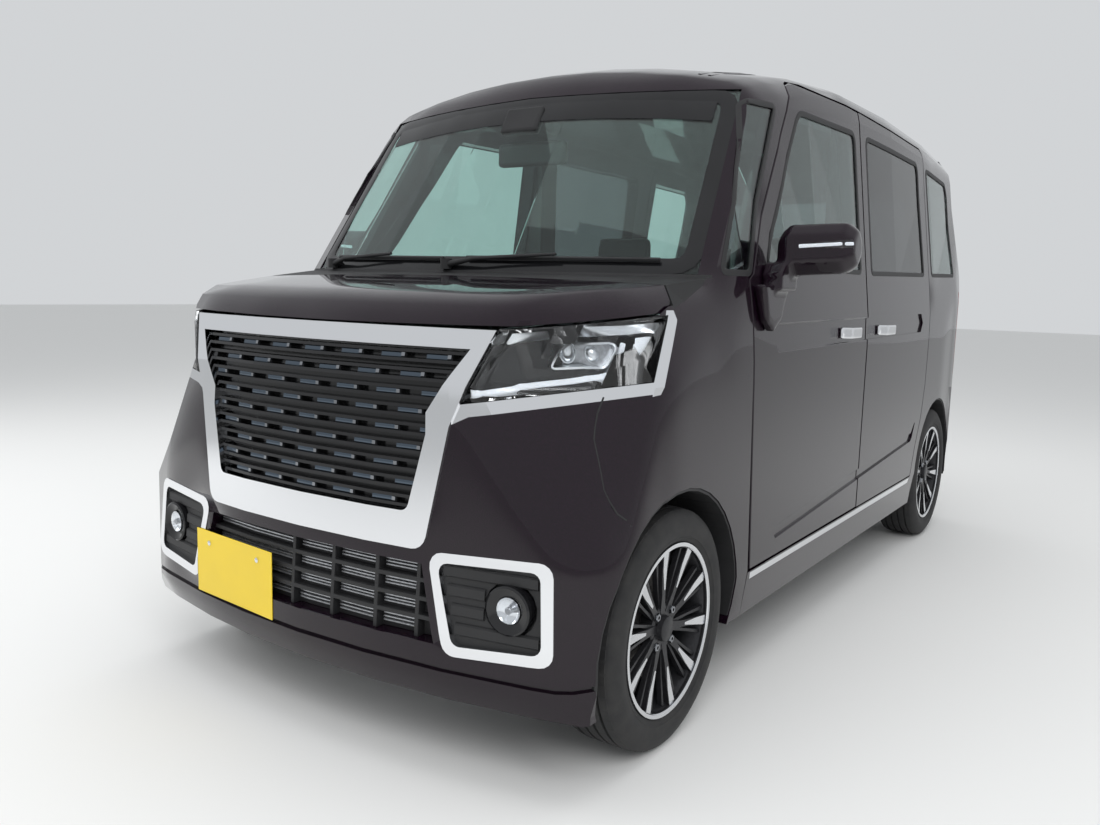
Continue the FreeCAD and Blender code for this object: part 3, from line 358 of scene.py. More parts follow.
def sweep(name, spots, widths, lift, sink, material, closed=False, body="body"):
    bm = bmesh.new()
    strip(bm, spots, widths, lift, sink, closed)
    from_bmesh(name, bm, material, body, TRIM_DEG)


def behind(spots, depth):
    return [(point - normal * depth, normal) for point, normal in spots if point is not None]


def tube(name, points, radius, material, sides=10, body="body"):
    """Round bar through 3-D points, with closed ends."""
    rows = []
    for k, point in enumerate(points):
        along = (points[min(k + 1, len(points) - 1)] - points[max(k - 1, 0)]).normalized()
        a = (a - along * a.dot(along)).normalized() if rows else along.orthogonal().normalized()
        b = along.cross(a)
        size = at(radius, k)
        rows.append([point + (a * cos(t) + b * sin(t)) * size for t in turns(sides)])
    loft(name, rows, material, body, BAR_DEG, ends=True)


def turned_on(name, point, axis, profile, material, count=40, body="body"):
    """Round piece about an axis through point, from (radius, height) corners. One on the axis closes it."""
    axis = axis.normalized()
    a = axis.orthogonal().normalized()
    b = axis.cross(a)
    loft(name, [[point + axis * h + (a * cos(t) + b * sin(t)) * r for t in (turns(count) if r else [0.0])]
                for r, h in profile], material, body)


def ring(name, profile, count, material, body, place, split=False, smooth_deg=EDGE_DEG):
    """Ring about the X axis through place, from (x, r) corners."""
    rows = [[place + Vector((x, r * sin(t), r * cos(t))) for x, r in profile] for t in turns(count)]
    return loft(name, rows, material, body, smooth_deg, loop=True, split=split)


def block(name, centre, size, rounding, material, body="body", tilt=0.0):
    """Box with rounded edges, tilted about the X axis."""
    bm = bmesh.new()
    bmesh.ops.create_cube(bm, size=1.0)
    bmesh.ops.scale(bm, vec=Vector(size), verts=bm.verts)
    bmesh.ops.rotate(bm, matrix=Matrix.Rotation(tilt, 3, "X"), verts=bm.verts)
    bmesh.ops.translate(bm, vec=Vector(centre), verts=bm.verts)
    bevel(from_bmesh(name, bm, material, body), rounding, 3)


def sheet(name, spots, top, bottom, material, body="body"):
    """Sheet between two heights over (point, normal) corners."""
    rows = [[point + normal * height for point, normal in spots] for height in (top, bottom)]
    loft(name, rows, material, body, ends=True)


def dense(points, step=0.02, closed=False, round_off=0.0):
    """2-D polyline with its corners rounded off and a point at least every step."""
    pts = [Vector(p) for p in points]
    if round_off:
        out = []
        n = len(pts)
        for k, p in enumerate(pts):
            if not closed and k in (0, n - 1):
                out.append(p)
                continue
            a, b = pts[k - 1], pts[(k + 1) % n]
            pa, pb = (p + (q - p).normalized() * min(round_off, (q - p).length * 0.45) for q in (a, b))
            out += [pa.lerp(p, t).lerp(p.lerp(pb, t), t) for t in spread(0, 1, 4)]
        pts = out
    ends = pts[1:] + pts[:1] if closed else pts[1:]
    result = []
    for a, b in zip(pts, ends):
        parts = max(1, ceil((b - a).length / step))
        result += [a.lerp(b, i / parts) for i in range(parts)]
    return result if closed else result + pts[-1:]


# CAD nodes: each shows its slot's material, or a piece with rounded edges or softer shading stands for it

WELD, SPECK, FLAT_DEG = 2e-5, 1e-5, 0.4
MIRROR_VOXEL, MIRROR_ROUNDS = 0.005, 14
SLOT_OF = {row["node"]: row["material_slot"] for row in frame["record"]["subparts"]}


def body_of(name):
    for body, members in frame["record"]["behaviour"]["bodies"].items():
        if name in members:
            return body
    return "body"


def welded(name):
    """The node's own form, without doubled corners and with its flat faces whole."""
    bm = bmesh.new()
    bm.from_mesh(nodes[name].data)
    bmesh.ops.remove_doubles(bm, verts=bm.verts, dist=WELD)
    bmesh.ops.dissolve_degenerate(bm, edges=bm.edges, dist=SPECK)
    bmesh.ops.dissolve_limit(bm, angle_limit=radians(FLAT_DEG), verts=bm.verts, edges=bm.edges)
    return bm


def refined(name, material, width):
    """The node's own form, smooth across its small angles, with rounded edges."""
    piece = from_bmesh(name + "_skin", welded(name), material, body_of(name), PANEL_DEG)
    bevel(piece, width, 2)
    piece.modifiers.new("shade", "WEIGHTED_NORMAL").keep_sharp = True
    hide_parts(name)


def softened(name, body):
    """The node's own form with all its edges well rounded."""
    piece = from_bmesh(name + "_soft", welded(name), PAINT, body)
    grid = piece.modifiers.new("grid", "REMESH")
    grid.mode = "VOXEL"
    grid.voxel_size = MIRROR_VOXEL
    grid.use_smooth_shade = True
    piece.modifiers.new("soft", "SMOOTH").iterations = MIRROR_ROUNDS
    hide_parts(name)


for name, piece in nodes.items():
    piece.data.materials.clear()
    piece.data.materials.append(SLOT_MATERIAL[SLOT_OF[name]])

# Material, width of the rounded edges, nodes
PANELS = (
    (PAINT, 0.0025, "sliding_door_left sliding_door_right front_door_left front_door_right"),
    (PAINT, 0.003, "tailgate rear_bumper"), (CHROME, 0.001, "sill_trims"), (CHROME, 0.003, "fog_bezels"),
    (CHROME, 0.004, "grille_surround"),
    (CHROME, 0.005, "front_handle_left front_handle_right sliding_handles"),
    (GLOSS, 0.0008, "grille"), (BLACK, 0.001, "fog_lamps"), (BLACK, 0.0015, "lower_grille"),
    (BLACK, 0.002, "cowl_panel door_pillars"), (BLACK, 0.012, "dashboard"), (BLACK, 0.015, "fuel_tank"),
    (ENGINE, 0.008, "engine_block"), (EXHAUST, 0.003, "exhaust"), (PLATE, 0.001, "front_plate rear_plate"),
)
for material, width, names in PANELS:
    for name in names.split():
        refined(name, material, width)
for hand, side in SIDES:
    softened("door_mirror_" + hand, "front_door_" + hand)


# Ray tests on the outer skin. Each gives (point, normal), both None where the ray meets nothing.

OUTER = """roof_panel body_side_left body_side_right hood front_fender_left front_fender_right front_bumper
    sliding_door_left sliding_door_right front_door_left front_door_right tailgate rear_bumper head_lamps
    tail_lamps grille_surround fixed_glass front_door_glass_left front_door_glass_right sliding_door_glass
    tailgate_glass cowl_panel front_plate rear_plate""".split()
AHEAD, BEHIND, DOWN = Vector((0, 1, 0)), Vector((0, -1, 0)), Vector((0, 0, -1))
FAR_X, FAR_Y, FAR_Z = 2.0, 2.5, 3.0


def skin_tree(*names):
    verts, faces = [], []
    for name in names:
        mesh, start = nodes[name].data, len(verts)
        verts += [v.co.copy() for v in mesh.vertices]
        faces += [[start + i for i in polygon.vertices] for polygon in mesh.polygons]
    return BVHTree.FromPolygons(verts, faces)


SKIN = skin_tree(*OUTER)


def from_front(x, z, tree=SKIN):
    return tree.ray_cast(Vector((x, -FAR_Y, z)), AHEAD)[:2]


def from_back(x, z, tree=SKIN):
    return tree.ray_cast(Vector((x, FAR_Y, z)), BEHIND)[:2]


def from_side(y, z, side):
    return SKIN.ray_cast(Vector((FAR_X * side, y, z)), Vector((-side, 0, 0)))[:2]


def from_top(x, y):
    return SKIN.ray_cast(Vector((x, y, FAR_Z)), DOWN)[:2]


def hits(cast, line, *more):
    return [cast(a, b, *more) for a, b in line]


# Body panels: their flat strips shaded as the flowing surface that they stand for

SAMPLE_STEP, FRONT_STEP = 0.035, 0.02
WIDTH, NOSE, TOP = (-0.76, 0.76), (-1.7, -1.0), (-1.0, 1.7)
FENDER, FLANK, PILLARS = (-1.7, -0.8), (-0.8, 1.7), (-1.2, 1.7)
LOW, HIGH = (0.18, 1.12), (1.12, 1.78)
BLUR = np.array((0.085, 0.06, 0.05))
REACH = 0.2
FINE_EDGE, FINE_ROUNDS = 0.035, 6
SAME_WAY = 0.82


def grid_of(cast, a_range, b_range, step, *more):
    """Ray tests over a rectangle, at every step both ways."""
    a_steps, b_steps = ([low + step * k for k in range(int((high - low) / step) + 1)]
                        for low, high in (a_range, b_range))
    return [cast(a, b, *more) for a in a_steps for b in b_steps]


def skin_samples():
    """Points and normals of the outer skin, from ray tests on all its sides."""
    found = grid_of(from_front, WIDTH, LOW, FRONT_STEP) + grid_of(from_top, WIDTH, NOSE, FRONT_STEP)
    found += grid_of(from_front, WIDTH, HIGH, SAMPLE_STEP) + grid_of(from_top, WIDTH, TOP, SAMPLE_STEP)
    for _, side in SIDES:
        found += grid_of(from_side, FENDER, LOW, FRONT_STEP, side)
        found += grid_of(from_side, FLANK, LOW, SAMPLE_STEP, side)
        found += grid_of(from_side, PILLARS, HIGH, SAMPLE_STEP, side)
    return (np.array([tuple(hit[k]) for hit in found if hit[0]]) for k in (0, 1))


SAMPLE_AT, SAMPLE_NORMAL = skin_samples()


def blurred_normals(points):
    """The skin's direction about each point, averaged over about a hand's breadth."""
    result = np.zeros_like(points)
    for rows in np.array_split(np.argsort(points[:, 1]), max(1, len(points) // 300)):
        here = points[rows]
        near = (SAMPLE_AT[:, 1] > here[:, 1].min() - REACH) & (SAMPLE_AT[:, 1] < here[:, 1].max() + REACH)
        gap = (here[:, None, :] - SAMPLE_AT[None, near]) / BLUR
        total = np.exp(-(gap ** 2).sum(axis=2)) @ SAMPLE_NORMAL[near]
        result[rows] = total / np.maximum(np.linalg.norm(total, axis=1), 1e-9)[:, None]
    return result


def flowing(name):
    """The node's own form, cut fine, with the outer skin's averaged direction as its shading."""
    bm = welded(name)
    bmesh.ops.triangulate(bm, faces=bm.faces)
    for _ in range(FINE_ROUNDS):
        long_edges = [edge for edge in bm.edges if edge.calc_length() > FINE_EDGE]
        if not long_edges:
            break
        bmesh.ops.subdivide_edges(bm, edges=long_edges, cuts=1)
        bmesh.ops.triangulate(bm, faces=[face for face in bm.faces if len(face.verts) > 3])
    piece = from_bmesh(name + "_skin", bm, PAINT, body_of(name))
    mesh = piece.data
    soft = blurred_normals(np.array([tuple(vertex.co) for vertex in mesh.vertices]))
    normals = []
    for polygon in mesh.polygons:
        own = np.array(tuple(polygon.normal))
        around = soft[list(polygon.vertices)]
        normals += list(around) if (around @ own).min() > SAME_WAY else [own] * 3
    mesh.normals_split_custom_set([tuple(normal) for normal in normals])
    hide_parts(name)


for name in ("hood front_fender_left front_fender_right front_bumper roof_panel body_side_left "
             "body_side_right").split():
    flowing(name)


# Window seals and the black print on the glass, with the outlines that the panels are cut to

GLASS_LOW = 1.132
SIDE_WINDOWS = (
    ("front", ((-0.735, GLASS_LOW), (-0.44, 1.54), (-0.415, 1.558), (0.035, 1.566), (0.05, 1.55),
               (0.05, GLASS_LOW))),
    ("sliding", ((0.185, GLASS_LOW), (0.185, 1.556), (0.2, 1.57), (0.87, 1.566), (0.888, 1.545),
                 (0.905, 1.144))),
    ("quarter", ((-0.985, 1.106), (-0.745, 1.54), (-0.6, 1.548), (-0.872, 1.106))),
    ("rear", ((1.05, 1.146), (1.05, 1.56), (1.45, 1.545), (1.48, 1.5), (1.47, 1.154))),
)
WINDSCREEN = ((-0.656, 1.092), (-0.608, 1.578), (0, 1.592), (0.608, 1.578), (0.656, 1.092))
TAIL_WINDOW = ((-0.515, 1.12), (-0.478, 1.54), (0.478, 1.54), (0.515, 1.12))
SEAL_W, SEAL_OUT, SEAL_STEP = 0.016, 0.006, 0.05
SHADE_HALF, SHADE_Z, SHADE_SAG = 0.56, 1.545, 0.03 / 0.6 ** 2


def grown(outline, by):
    """Outline moved outward by a distance, corner by corner."""
    n = len(outline)
    area = sum(outline[k - 1][0] * outline[k][1] - outline[k][0] * outline[k - 1][1] for k in range(n))
    turn = 1 if area < 0 else -1
    out = []
    for k in range(n):
        p, a, b = Vector(outline[k]), Vector(outline[k - 1]), Vector(outline[(k + 1) % n])
        na = Vector((-(p - a).y, (p - a).x)).normalized() * turn
        nb = Vector((-(b - p).y, (b - p).x)).normalized() * turn
        mid = na + nb
        out.append(p + mid * (by * 2 / mid.length_squared))
    return out


def add_side_seals(hand, side):
    for label, outline in SIDE_WINDOWS:
        line = dense(grown(outline, SEAL_OUT), SEAL_STEP, True, 0.02)
        sweep(f"seal_{label}_{hand}", hits(from_side, line, side), SEAL_W, 0.0012, 0.003,
              BLACK, True, "front_door_" + hand if label == "front" else "body")


def add_glass_bands():
    line = dense(grown(WINDSCREEN, -0.018), SEAL_STEP, True, 0.05)
    sweep("screen_band", hits(from_front, line), 0.046, 0.002, 0.001, GLOSS, True)
    shade = [from_front(x, SHADE_Z - SHADE_SAG * x ** 2) for x in spread(-SHADE_HALF, SHADE_HALF, 28)]
    sweep("screen_shade", shade, 0.07, 0.0024, 0.001, GLOSS)
    line = dense(grown(TAIL_WINDOW, -0.014), SEAL_STEP, True, 0.04)
    sweep("tail_band", hits(from_back, line), 0.04, 0.0006, 0.001, GLOSS, True, "tailgate")


both_sides(add_side_seals)
add_glass_bands()


# Wipers: root and tip of the arm, and both ends of the blade, in front view

WIPERS = (("left", (-0.04, 1.1), (0.3, 1.122), (0.02, 1.12), (0.56, 1.12)),
          ("right", (-0.56, 1.1), (-0.26, 1.122), (-0.54, 1.122), (-0.06, 1.118)))
ROOT_LIFT, ARM_LIFT, TIP_LIFT, BLADE_LIFT = 0.012, 0.03, 0.026, 0.011


def add_wiper(label, root, tip, blade_a, blade_b):
    """Arm from its pivot on the cowl to the middle of the blade, both lying on the screen."""
    def spot(x, z, lift):
        point, normal = from_front(x, z)
        return point + normal * lift
    pivot = spot(*root, ROOT_LIFT)
    elbow = [a * 0.7 + b * 0.3 for a, b in zip(root, tip)]
    arm = [pivot, spot(*elbow, ARM_LIFT), spot(*tip, TIP_LIFT)]
    tube("wiper_arm_" + label, arm, [0.01, 0.006, 0.004], BLACK)
    line = zip(spread(blade_a[0], blade_b[0], 12), spread(blade_a[1], blade_b[1], 12))
    tube("wiper_blade_" + label, [spot(x, z, BLADE_LIFT) for x, z in line], 0.0055, BLACK, 6)
    tube("wiper_cap_" + label, [pivot + Vector((0, 0, up)) for up in (-0.012, 0.016)], 0.016, BLACK, 16)


for row in WIPERS:
    add_wiper(*row)


# Lamps

LENS_FACING = 0.45
LENS_THICK, TRAY_THICK = 0.0025, 0.0015
# Inside of the left head lamp in front view: light guide along the lower edge, bright brow along the top one,
# projector with two eyes in a slanted frame, and two clear blocks at the outer end
GUIDE = ((0.453, 0.836), (0.551, 0.855), (0.618, 0.865), (0.65, 0.876), (0.664, 0.9), (0.662, 0.944))
BROW = ((0.479, 0.945), (0.581, 0.956), (0.637, 0.966), (0.69, 0.979))
PROJECTOR = ((0.573, 0.887), (0.584, 0.923), (0.6, 0.935), (0.65, 0.943), (0.655, 0.93), (0.646, 0.892))
EYES, EYE_DEPTH = ((0.6, 0.91), (0.633, 0.916)), 0.024
EYE_DOME = ((0.0, 0.01), (0.008, 0.0085), (0.013, 0.004), (0.0155, 0.0), (0.017, 0.001), (0.0175, -0.012))
LAMP_BLOCKS = (("head_block_high_", ((0.668, 0.953), (0.689, 0.96), (0.695, 0.934), (0.67, 0.93))),
               ("head_block_low_", ((0.672, 0.924), (0.696, 0.927), (0.7, 0.898), (0.674, 0.89))))


def split_lamp(name, lens_material, tray_material, outward):
    """Lens from the faces that look outward, and the open tray behind it from the others."""
    def on_lens(face):
        side = 1 if face.calc_center_median().x > 0 else -1
        return face.normal.dot(Vector((side * outward[0], *outward[1:])).normalized()) > LENS_FACING

    for part, keep, material, thick in (("lens", True, lens_material, LENS_THICK),
                                        ("tray", False, tray_material, TRAY_THICK)):
        bm = welded(name)
        bmesh.ops.delete(bm, geom=[face for face in bm.faces if on_lens(face) != keep], context="FACES")
        piece = from_bmesh(name + "_" + part, bm, material)
        solid = piece.modifiers.new("thickness", "SOLIDIFY")
        solid.thickness = thick
        solid.offset = -1.0
        if keep:
            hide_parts(name)


def add_head_lamp_inside(hand, side):
    def lamp_strip(label, line, depth, *more):
        sweep(label + hand, behind(hits(from_front, line), depth), *more)

    def lamp_plate(label, outline, front, back, material):
        corners = [(point, AHEAD) for point, _ in hits(from_front, outline)]
        sheet(label + hand, corners, front, back, material)

    # depth behind the lens, width, lift and sink of each strip
    guide = dense(mirrored(GUIDE, side), 0.012, round_off=0.02)
    lamp_strip("head_guide_", guide, 0.008, 0.0115, 0.003, 0.004, LED_WHITE)
    lamp_strip("head_brow_", dense(mirrored(BROW, side)), 0.008, 0.02, 0.003, 0.003, REFLECTOR)
    outline = mirrored(PROJECTOR, side)
    edge = dense(outline, 0.012, True, 0.01)
    lamp_strip("head_frame_", edge, 0.012, 0.006, 0.004, 0.012, REFLECTOR, True)
    lamp_plate("head_back_", dense(outline, 0.05, True), 0.04, 0.043, SILVER)
    for n, (x, z) in enumerate(mirrored(EYES, side)):
        point, normal = from_front(x, z)
        turned_on(f"head_eye_{n}_{hand}", point - normal * EYE_DEPTH, normal, EYE_DOME, REFLECTOR, 32)
    for label, outline in LAMP_BLOCKS:
        lamp_plate(label, mirrored(outline, side), 0.02, 0.024, LED_WHITE)


split_lamp("head_lamps", LENS_CLEAR, GLOSS, (0.55, -0.83, 0.05))
split_lamp("tail_lamps", LENS_RED, CHROME, (0.6, 0.8, 0))
both_sides(add_head_lamp_inside)


# Shadow in the seam between bumper and fender, as (y, z) down to the wheel arch

BUMPER_SEAM = ((-1.447, 0.832), (-1.465, 0.8), (-1.489, 0.75), (-1.491, 0.7), (-1.495, 0.65),
               (-1.48, 0.602), (-1.455, 0.574))


def add_bumper_seam(hand, side):
    spots = hits(from_side, dense(BUMPER_SEAM, 0.03), side)
    sweep("bumper_seam_" + hand, spots, 0.004, 0.0005, 0.002, LINER)


both_sides(add_bumper_seam)


# Glossy faces on the small blocks of the grille, and a painted highlight on one end of each: brighter metal
# where that end catches the light

GRILLE_LOW, GRILLE_HIGH, GRILLE_ROWS = 0.578, 0.925, 9
GRILLE_EDGE = ((0.578, 0.312), (0.745, 0.352), (0.79, 0.35), (0.925, 0.438))
# Pitch, half length and width of the blocks, then length and width of the painted highlight on one end of
# each
GEM_PITCH, GEM_HALF, GEM_W, END_HIGHLIGHT, END_HIGHLIGHT_W = 0.118, 0.031, 0.0125, 0.009, 0.0115
GEM_MARGIN, GEM_SHORTEST, GEM_HEIGHT = 0.008, 0.015, 0.46


def grille_half(z):
    """Half the width of the grille opening at a height."""
    for (z0, x0), (z1, x1) in zip(GRILLE_EDGE, GRILLE_EDGE[1:]):
        if z <= z1:
            return x0 + (x1 - x0) * (z - z0) / (z1 - z0)
    return GRILLE_EDGE[-1][1]


def add_grille_gems():
    faces, end_highlights, grille = bmesh.new(), bmesh.new(), skin_tree("grille")
    pitch = (GRILLE_HIGH - GRILLE_LOW) / GRILLE_ROWS
    for k in range(GRILLE_ROWS):
        z = GRILLE_LOW + (k + GEM_HEIGHT) * pitch
        half = grille_half(z) - GEM_MARGIN
        count = 8 if k % 2 else 7
        for n in range(count):
            x = (n - (count - 1) / 2) * GEM_PITCH
            low, high = max(x - GEM_HALF, -half), min(x + GEM_HALF, half)
            if high - low < GEM_SHORTEST:
                continue
            strip(faces, [from_front(a, z, grille) for a in spread(low, high, 4)], GEM_W, 0.0016, 0.001)
            # Painted highlight: a strip of brighter metal on each block's end toward +X
            if high == x + GEM_HALF:
                spots = [from_front(a, z, grille) for a in spread(high - END_HIGHLIGHT, high, 2)]
                strip(end_highlights, spots, END_HIGHLIGHT_W, 0.003, 0.001)
    from_bmesh("grille_gems", faces, GEM)
    from_bmesh("grille_end_highlights", end_highlights, DARK_CHROME)


add_grille_gems()


# Fog lamps, lower intake and plates

FOG_X, FOG_Z, FOG_LEAN = 0.558, 0.404, 0.1
FOG_SKIN = skin_tree("fog_lamps")
# Name, material, steps round and (radius, height) corners of the fog lamp's round parts
FOG_ROUND = (
    ("ring", GLOSS, 40, ((0.052, -0.012), (0.052, 0.013), (0.048, 0.016), (0.031, 0.01), (0.0275, 0.008),
                         (0.0275, -0.012))),
    ("bowl", CHROME, 40, ((0.0, 0.0015), (0.008, 0.0015), (0.016, 0.0025), (0.023, 0.0055),
                          (0.0272, 0.0095))),
    ("lens", LENS_CLEAR, 40, ((0.0, 0.0175), (0.011, 0.017), (0.02, 0.015), (0.0275, 0.011),
                              (0.0275, 0.009), (0.02, 0.013), (0.011, 0.015), (0.0, 0.0155))),
    ("bulb", SILVER, 24, ((0.0, 0.013), (0.005, 0.0125), (0.0075, 0.01), (0.0075, 0.001))),
)
RIB_LOW, RIB_PITCH, RIB_COUNT, RIB_W = 0.344, 0.04, 4, 0.026
RIB_CLEAR, RIB_SHORTEST = 0.06, 0.012
# Inner and outer edge of the fog lamp's opening: x, the height that it is taken at, lean toward the middle
FOG_EDGES = ((0.446, 0.309, 0.269), (0.626, 0.323, 0.072))
INTAKE_CELLS_X = ((-0.355, -0.045), (-0.025, 0.085), (0.105, 0.215), (0.235, 0.325))
INTAKE_CELLS_Z = ((0.316, 0.341), (0.36, 0.381), (0.4, 0.421), (0.44, 0.462))
FIN_COUNT, FIN_W = 3, 0.0042
BOLT = ((0.0, 0.004), (0.0045, 0.0036), (0.0065, 0.002), (0.0065, -0.001))
PLATE_BOLTS = (("front", from_front, (-0.36, -0.15), 0.388, "body"),
               ("rear", from_back, (-0.105, 0.105), 0.742, "tailgate"))


def add_fog_lamp(hand, side):
    point = from_front(FOG_X * side, FOG_Z, FOG_SKIN)[0]
    axis = Vector((FOG_LEAN * side, -1, 0))
    for label, material, count, profile in FOG_ROUND:
        turned_on(f"fog_{label}_{hand}", point, axis, profile, material, count)
    bm = bmesh.new()
    for k in range(RIB_COUNT):
        z = RIB_LOW + RIB_PITCH * k
        left, right = (x - (z - taken_at) * lean for x, taken_at, lean in FOG_EDGES)
        gap = sqrt(max(0.0, RIB_CLEAR ** 2 - (z - FOG_Z) ** 2))
        for x0, x1 in ((left, FOG_X - gap), (FOG_X + gap, right)) if gap else ((left, right),):
            if x1 - x0 >= RIB_SHORTEST:
                strip(bm, [from_front(x * side, z, FOG_SKIN) for x in spread(x0, x1, 6)], RIB_W, 0.006, 0.001)
    from_bmesh("fog_ribs_" + hand, bm, BLACK)


def add_intake_core():
    """Fins of the cooler that shows through the lower intake."""
    bm, intake = bmesh.new(), skin_tree("lower_grille")
    for x0, x1 in INTAKE_CELLS_X:
        for z0, z1 in INTAKE_CELLS_Z:
            for k in range(FIN_COUNT):
                z = z0 + (z1 - z0) * (k + 0.5) / FIN_COUNT
                points = [from_front(x, z, intake)[0] for x in spread(x0, x1, 4)]
                strip(bm, [(point, BEHIND) for point in points], FIN_W, 0.006, 0.001)
    from_bmesh("intake_fins", bm, SILVER)


def add_plate_bolts():
    for label, cast, places, z, body in PLATE_BOLTS:
        plate = skin_tree(label + "_plate")
        for k, x in enumerate(places):
            point, normal = cast(x, z, plate)
            turned_on(f"plate_bolt_{label}_{k}", point, normal, BOLT, CHROME, 20, body)


both_sides(add_fog_lamp)
add_intake_core()
add_plate_bolts()


# Door mirrors

SIGNAL_X, SIGNAL_Z, SIGNAL_RISE, SIGNAL_W = (0.8, 0.925), 1.172, 0.06, (0.01, 0.022)
MIRROR_GLASS = ((0.788, 1.128), (0.8, 1.118), (0.892, 1.128), (0.905, 1.14), (0.905, 1.2),
                (0.892, 1.212), (0.8, 1.208), (0.788, 1.196))


def add_mirror_parts(hand, side):
    """Turn signal along the front of the housing, and the glass in its back."""
    shell, body = skin_tree("door_mirror_" + hand), "front_door_" + hand
    spots = [from_front(x * side, SIGNAL_Z + SIGNAL_RISE * (x - SIGNAL_X[0]), shell)
             for x in spread(*SIGNAL_X, 10)]
    sweep("mirror_signal_" + hand, spots, spread(*SIGNAL_W, 10), 0.0025, 0.002, LENS_CLEAR, body=body)
    sweep("mirror_signal_back_" + hand, behind(spots, 0.0005), 0.008, 0.0012, 0.001, LED_WHITE, body=body)
    glass = hits(from_back, mirrored(MIRROR_GLASS, side), shell)
    sheet("mirror_glass_" + hand, glass, 0.001, -0.001, CHROME, body)


both_sides(add_mirror_parts)


# Roof beads, tail lamps and what stands on the tailgate

BEAD_X, BEAD_Y, BEAD_W = (0.452, 0.482), (-0.66, 1.44), 0.01
TAIL_X = (0.622, 0.69)
TAIL_BANDS = (("clear", 0.716, 0.76, LENS_CLEAR), ("amber", 0.77, 0.812, LENS_AMBER))
TAIL_BARS, TAIL_BAR_Z, TAIL_BAR_W = (0.626, 0.65, 0.674), (0.835, 1.033), 0.011
GARNISH_HALF, GARNISH_Z, GARNISH_W = 0.26, 0.845, 0.036
TAIL_PIVOT, TAIL_ARM = (0.0, 1.105), ((-0.1, 1.128), (-0.2, 1.15))
TAIL_BLADE_X, TAIL_BLADE_Z = (-0.05, -0.35), (1.132, 1.1632)
TAIL_CAP = ((0.0, 0.034), (0.016, 0.032), (0.022, 0.022), (0.024, -0.002))


def add_roof_beads():
    bm = bmesh.new()
    for _, side in SIDES:
        for x in BEAD_X:
            strip(bm, [from_top(x * side, y) for y in spread(*BEAD_Y, 24)], BEAD_W, 0.0018, 0.002)
    from_bmesh("roof_beads", bm, PAINT)


def add_tail_lamp_inside(hand, side):
    x0, x1 = TAIL_X
    for label, z0, z1, material in TAIL_BANDS:
        corners = mirrored(((x0, z0), (x1, z0), (x1, z1), (x0, z1)), side)
        sheet(f"tail_{label}_{hand}", hits(from_back, corners), 0.0015, -0.001, material)
    bm = bmesh.new()
    for x in TAIL_BARS:
        spots = [from_back(x * side, z) for z in spread(*TAIL_BAR_Z, 11)]
        strip(bm, behind(spots, 0.01), TAIL_BAR_W, 0.003, 0.003)
    from_bmesh("tail_bars_" + hand, bm, LENS_RED)


def add_tailgate_parts():
    """Bright bar above the plate, and the rear wiper."""
    garnish = [from_back(x, GARNISH_Z) for x in spread(-GARNISH_HALF, GARNISH_HALF, 13)]
    sweep("tail_garnish", garnish, GARNISH_W, 0.007, 0.003, CHROME, body="tailgate")
    pivot, normal = from_back(*TAIL_PIVOT)
    turned_on("tail_wiper_cap", pivot, normal, TAIL_CAP, BLACK, 24, "tailgate")
    arm = [pivot + normal * 0.026] + [from_back(x, z)[0] + normal * 0.022 for x, z in TAIL_ARM]
    tube("tail_wiper_arm", arm, [0.01, 0.007, 0.004], BLACK, body="tailgate")
    blade = hits(from_back, zip(spread(*TAIL_BLADE_X, 12), spread(*TAIL_BLADE_Z, 12)))
    tube("tail_wiper_blade", [point + normal * 0.012 for point, _ in blade], 0.006, BLACK, 6, "tailgate")


add_roof_beads()
both_sides(add_tail_lamp_inside)
add_tailgate_parts()


# Cabin: steering wheel, dash and mirror

WHEEL_AT, WHEEL_TILT = Vector((-0.34, -0.5, 0.96)), radians(-60.0)
GRIP_RING_R, GRIP_R, GRIP_STEPS, GRIP_SIDES, GRIP_DEG = 0.178, 0.0145, 72, 14, 60.0
WHEEL_HUB = ((0.0, 0.028), (0.03, 0.027), (0.055, 0.02), (0.066, 0.006), (0.06, -0.016), (0.04, -0.018),
             (0.0, -0.018))
WHEEL_SPOKES = (("across", (0, 0, 0), (0.345, 0.036, 0.014)), ("down", (0, -0.085, 0), (0.034, 0.165, 0.012)))
# Blocks of the dash: name, centre, size, rounding, material, body, tilt
DASH_BLOCKS = (
    ("instrument_hood", (-0.34, -0.7, 1.045), (0.36, 0.16, 0.055), 0.02, BLACK),
    ("centre_screen", (0.0, -0.66, 0.965), (0.24, 0.02, 0.14), 0.006, GLOSS, "body", 0.12),
    ("gear_console", (0.0, -0.69, 0.79), (0.2, 0.12, 0.16), 0.02, GLOSS),
)
# Blocks behind the windscreen: name, depth behind it, height over MIRROR_Z, size, rounding, tilt
MIRROR_Z = 1.5
SCREEN_BLOCKS = (
    ("mirror_inside", 0.085, -0.02, (0.235, 0.03, 0.068), 0.012, 0.0),
    ("sensor_cover", 0.026, 0.035, (0.13, 0.03, 0.085), 0.01, radians(-28)),
)


def add_steering_wheel():
    turn = Matrix.Rotation(WHEEL_TILT, 4, "X")
    place = Matrix.Translation(WHEEL_AT) @ turn
    section = [(GRIP_RING_R + GRIP_R * cos(b), GRIP_R * sin(b)) for b in turns(GRIP_SIDES)]
    rows = [[place @ Vector((r * cos(a), r * sin(a), h)) for r, h in section] for a in turns(GRIP_STEPS)]
    grip = loft("steering_grip", rows, BLACK, "steering_wheel", GRIP_DEG, loop=True)
    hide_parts("steering_wheel")
    turned_on("steering_pad", WHEEL_AT, turn @ Vector((0, 0, 1)), WHEEL_HUB, GLOSS, body="steering_wheel")
    for label, centre, size in WHEEL_SPOKES:
        block("steering_spoke_" + label, place @ Vector(centre), size, 0.005, SILVER, "steering_wheel",
              WHEEL_TILT)


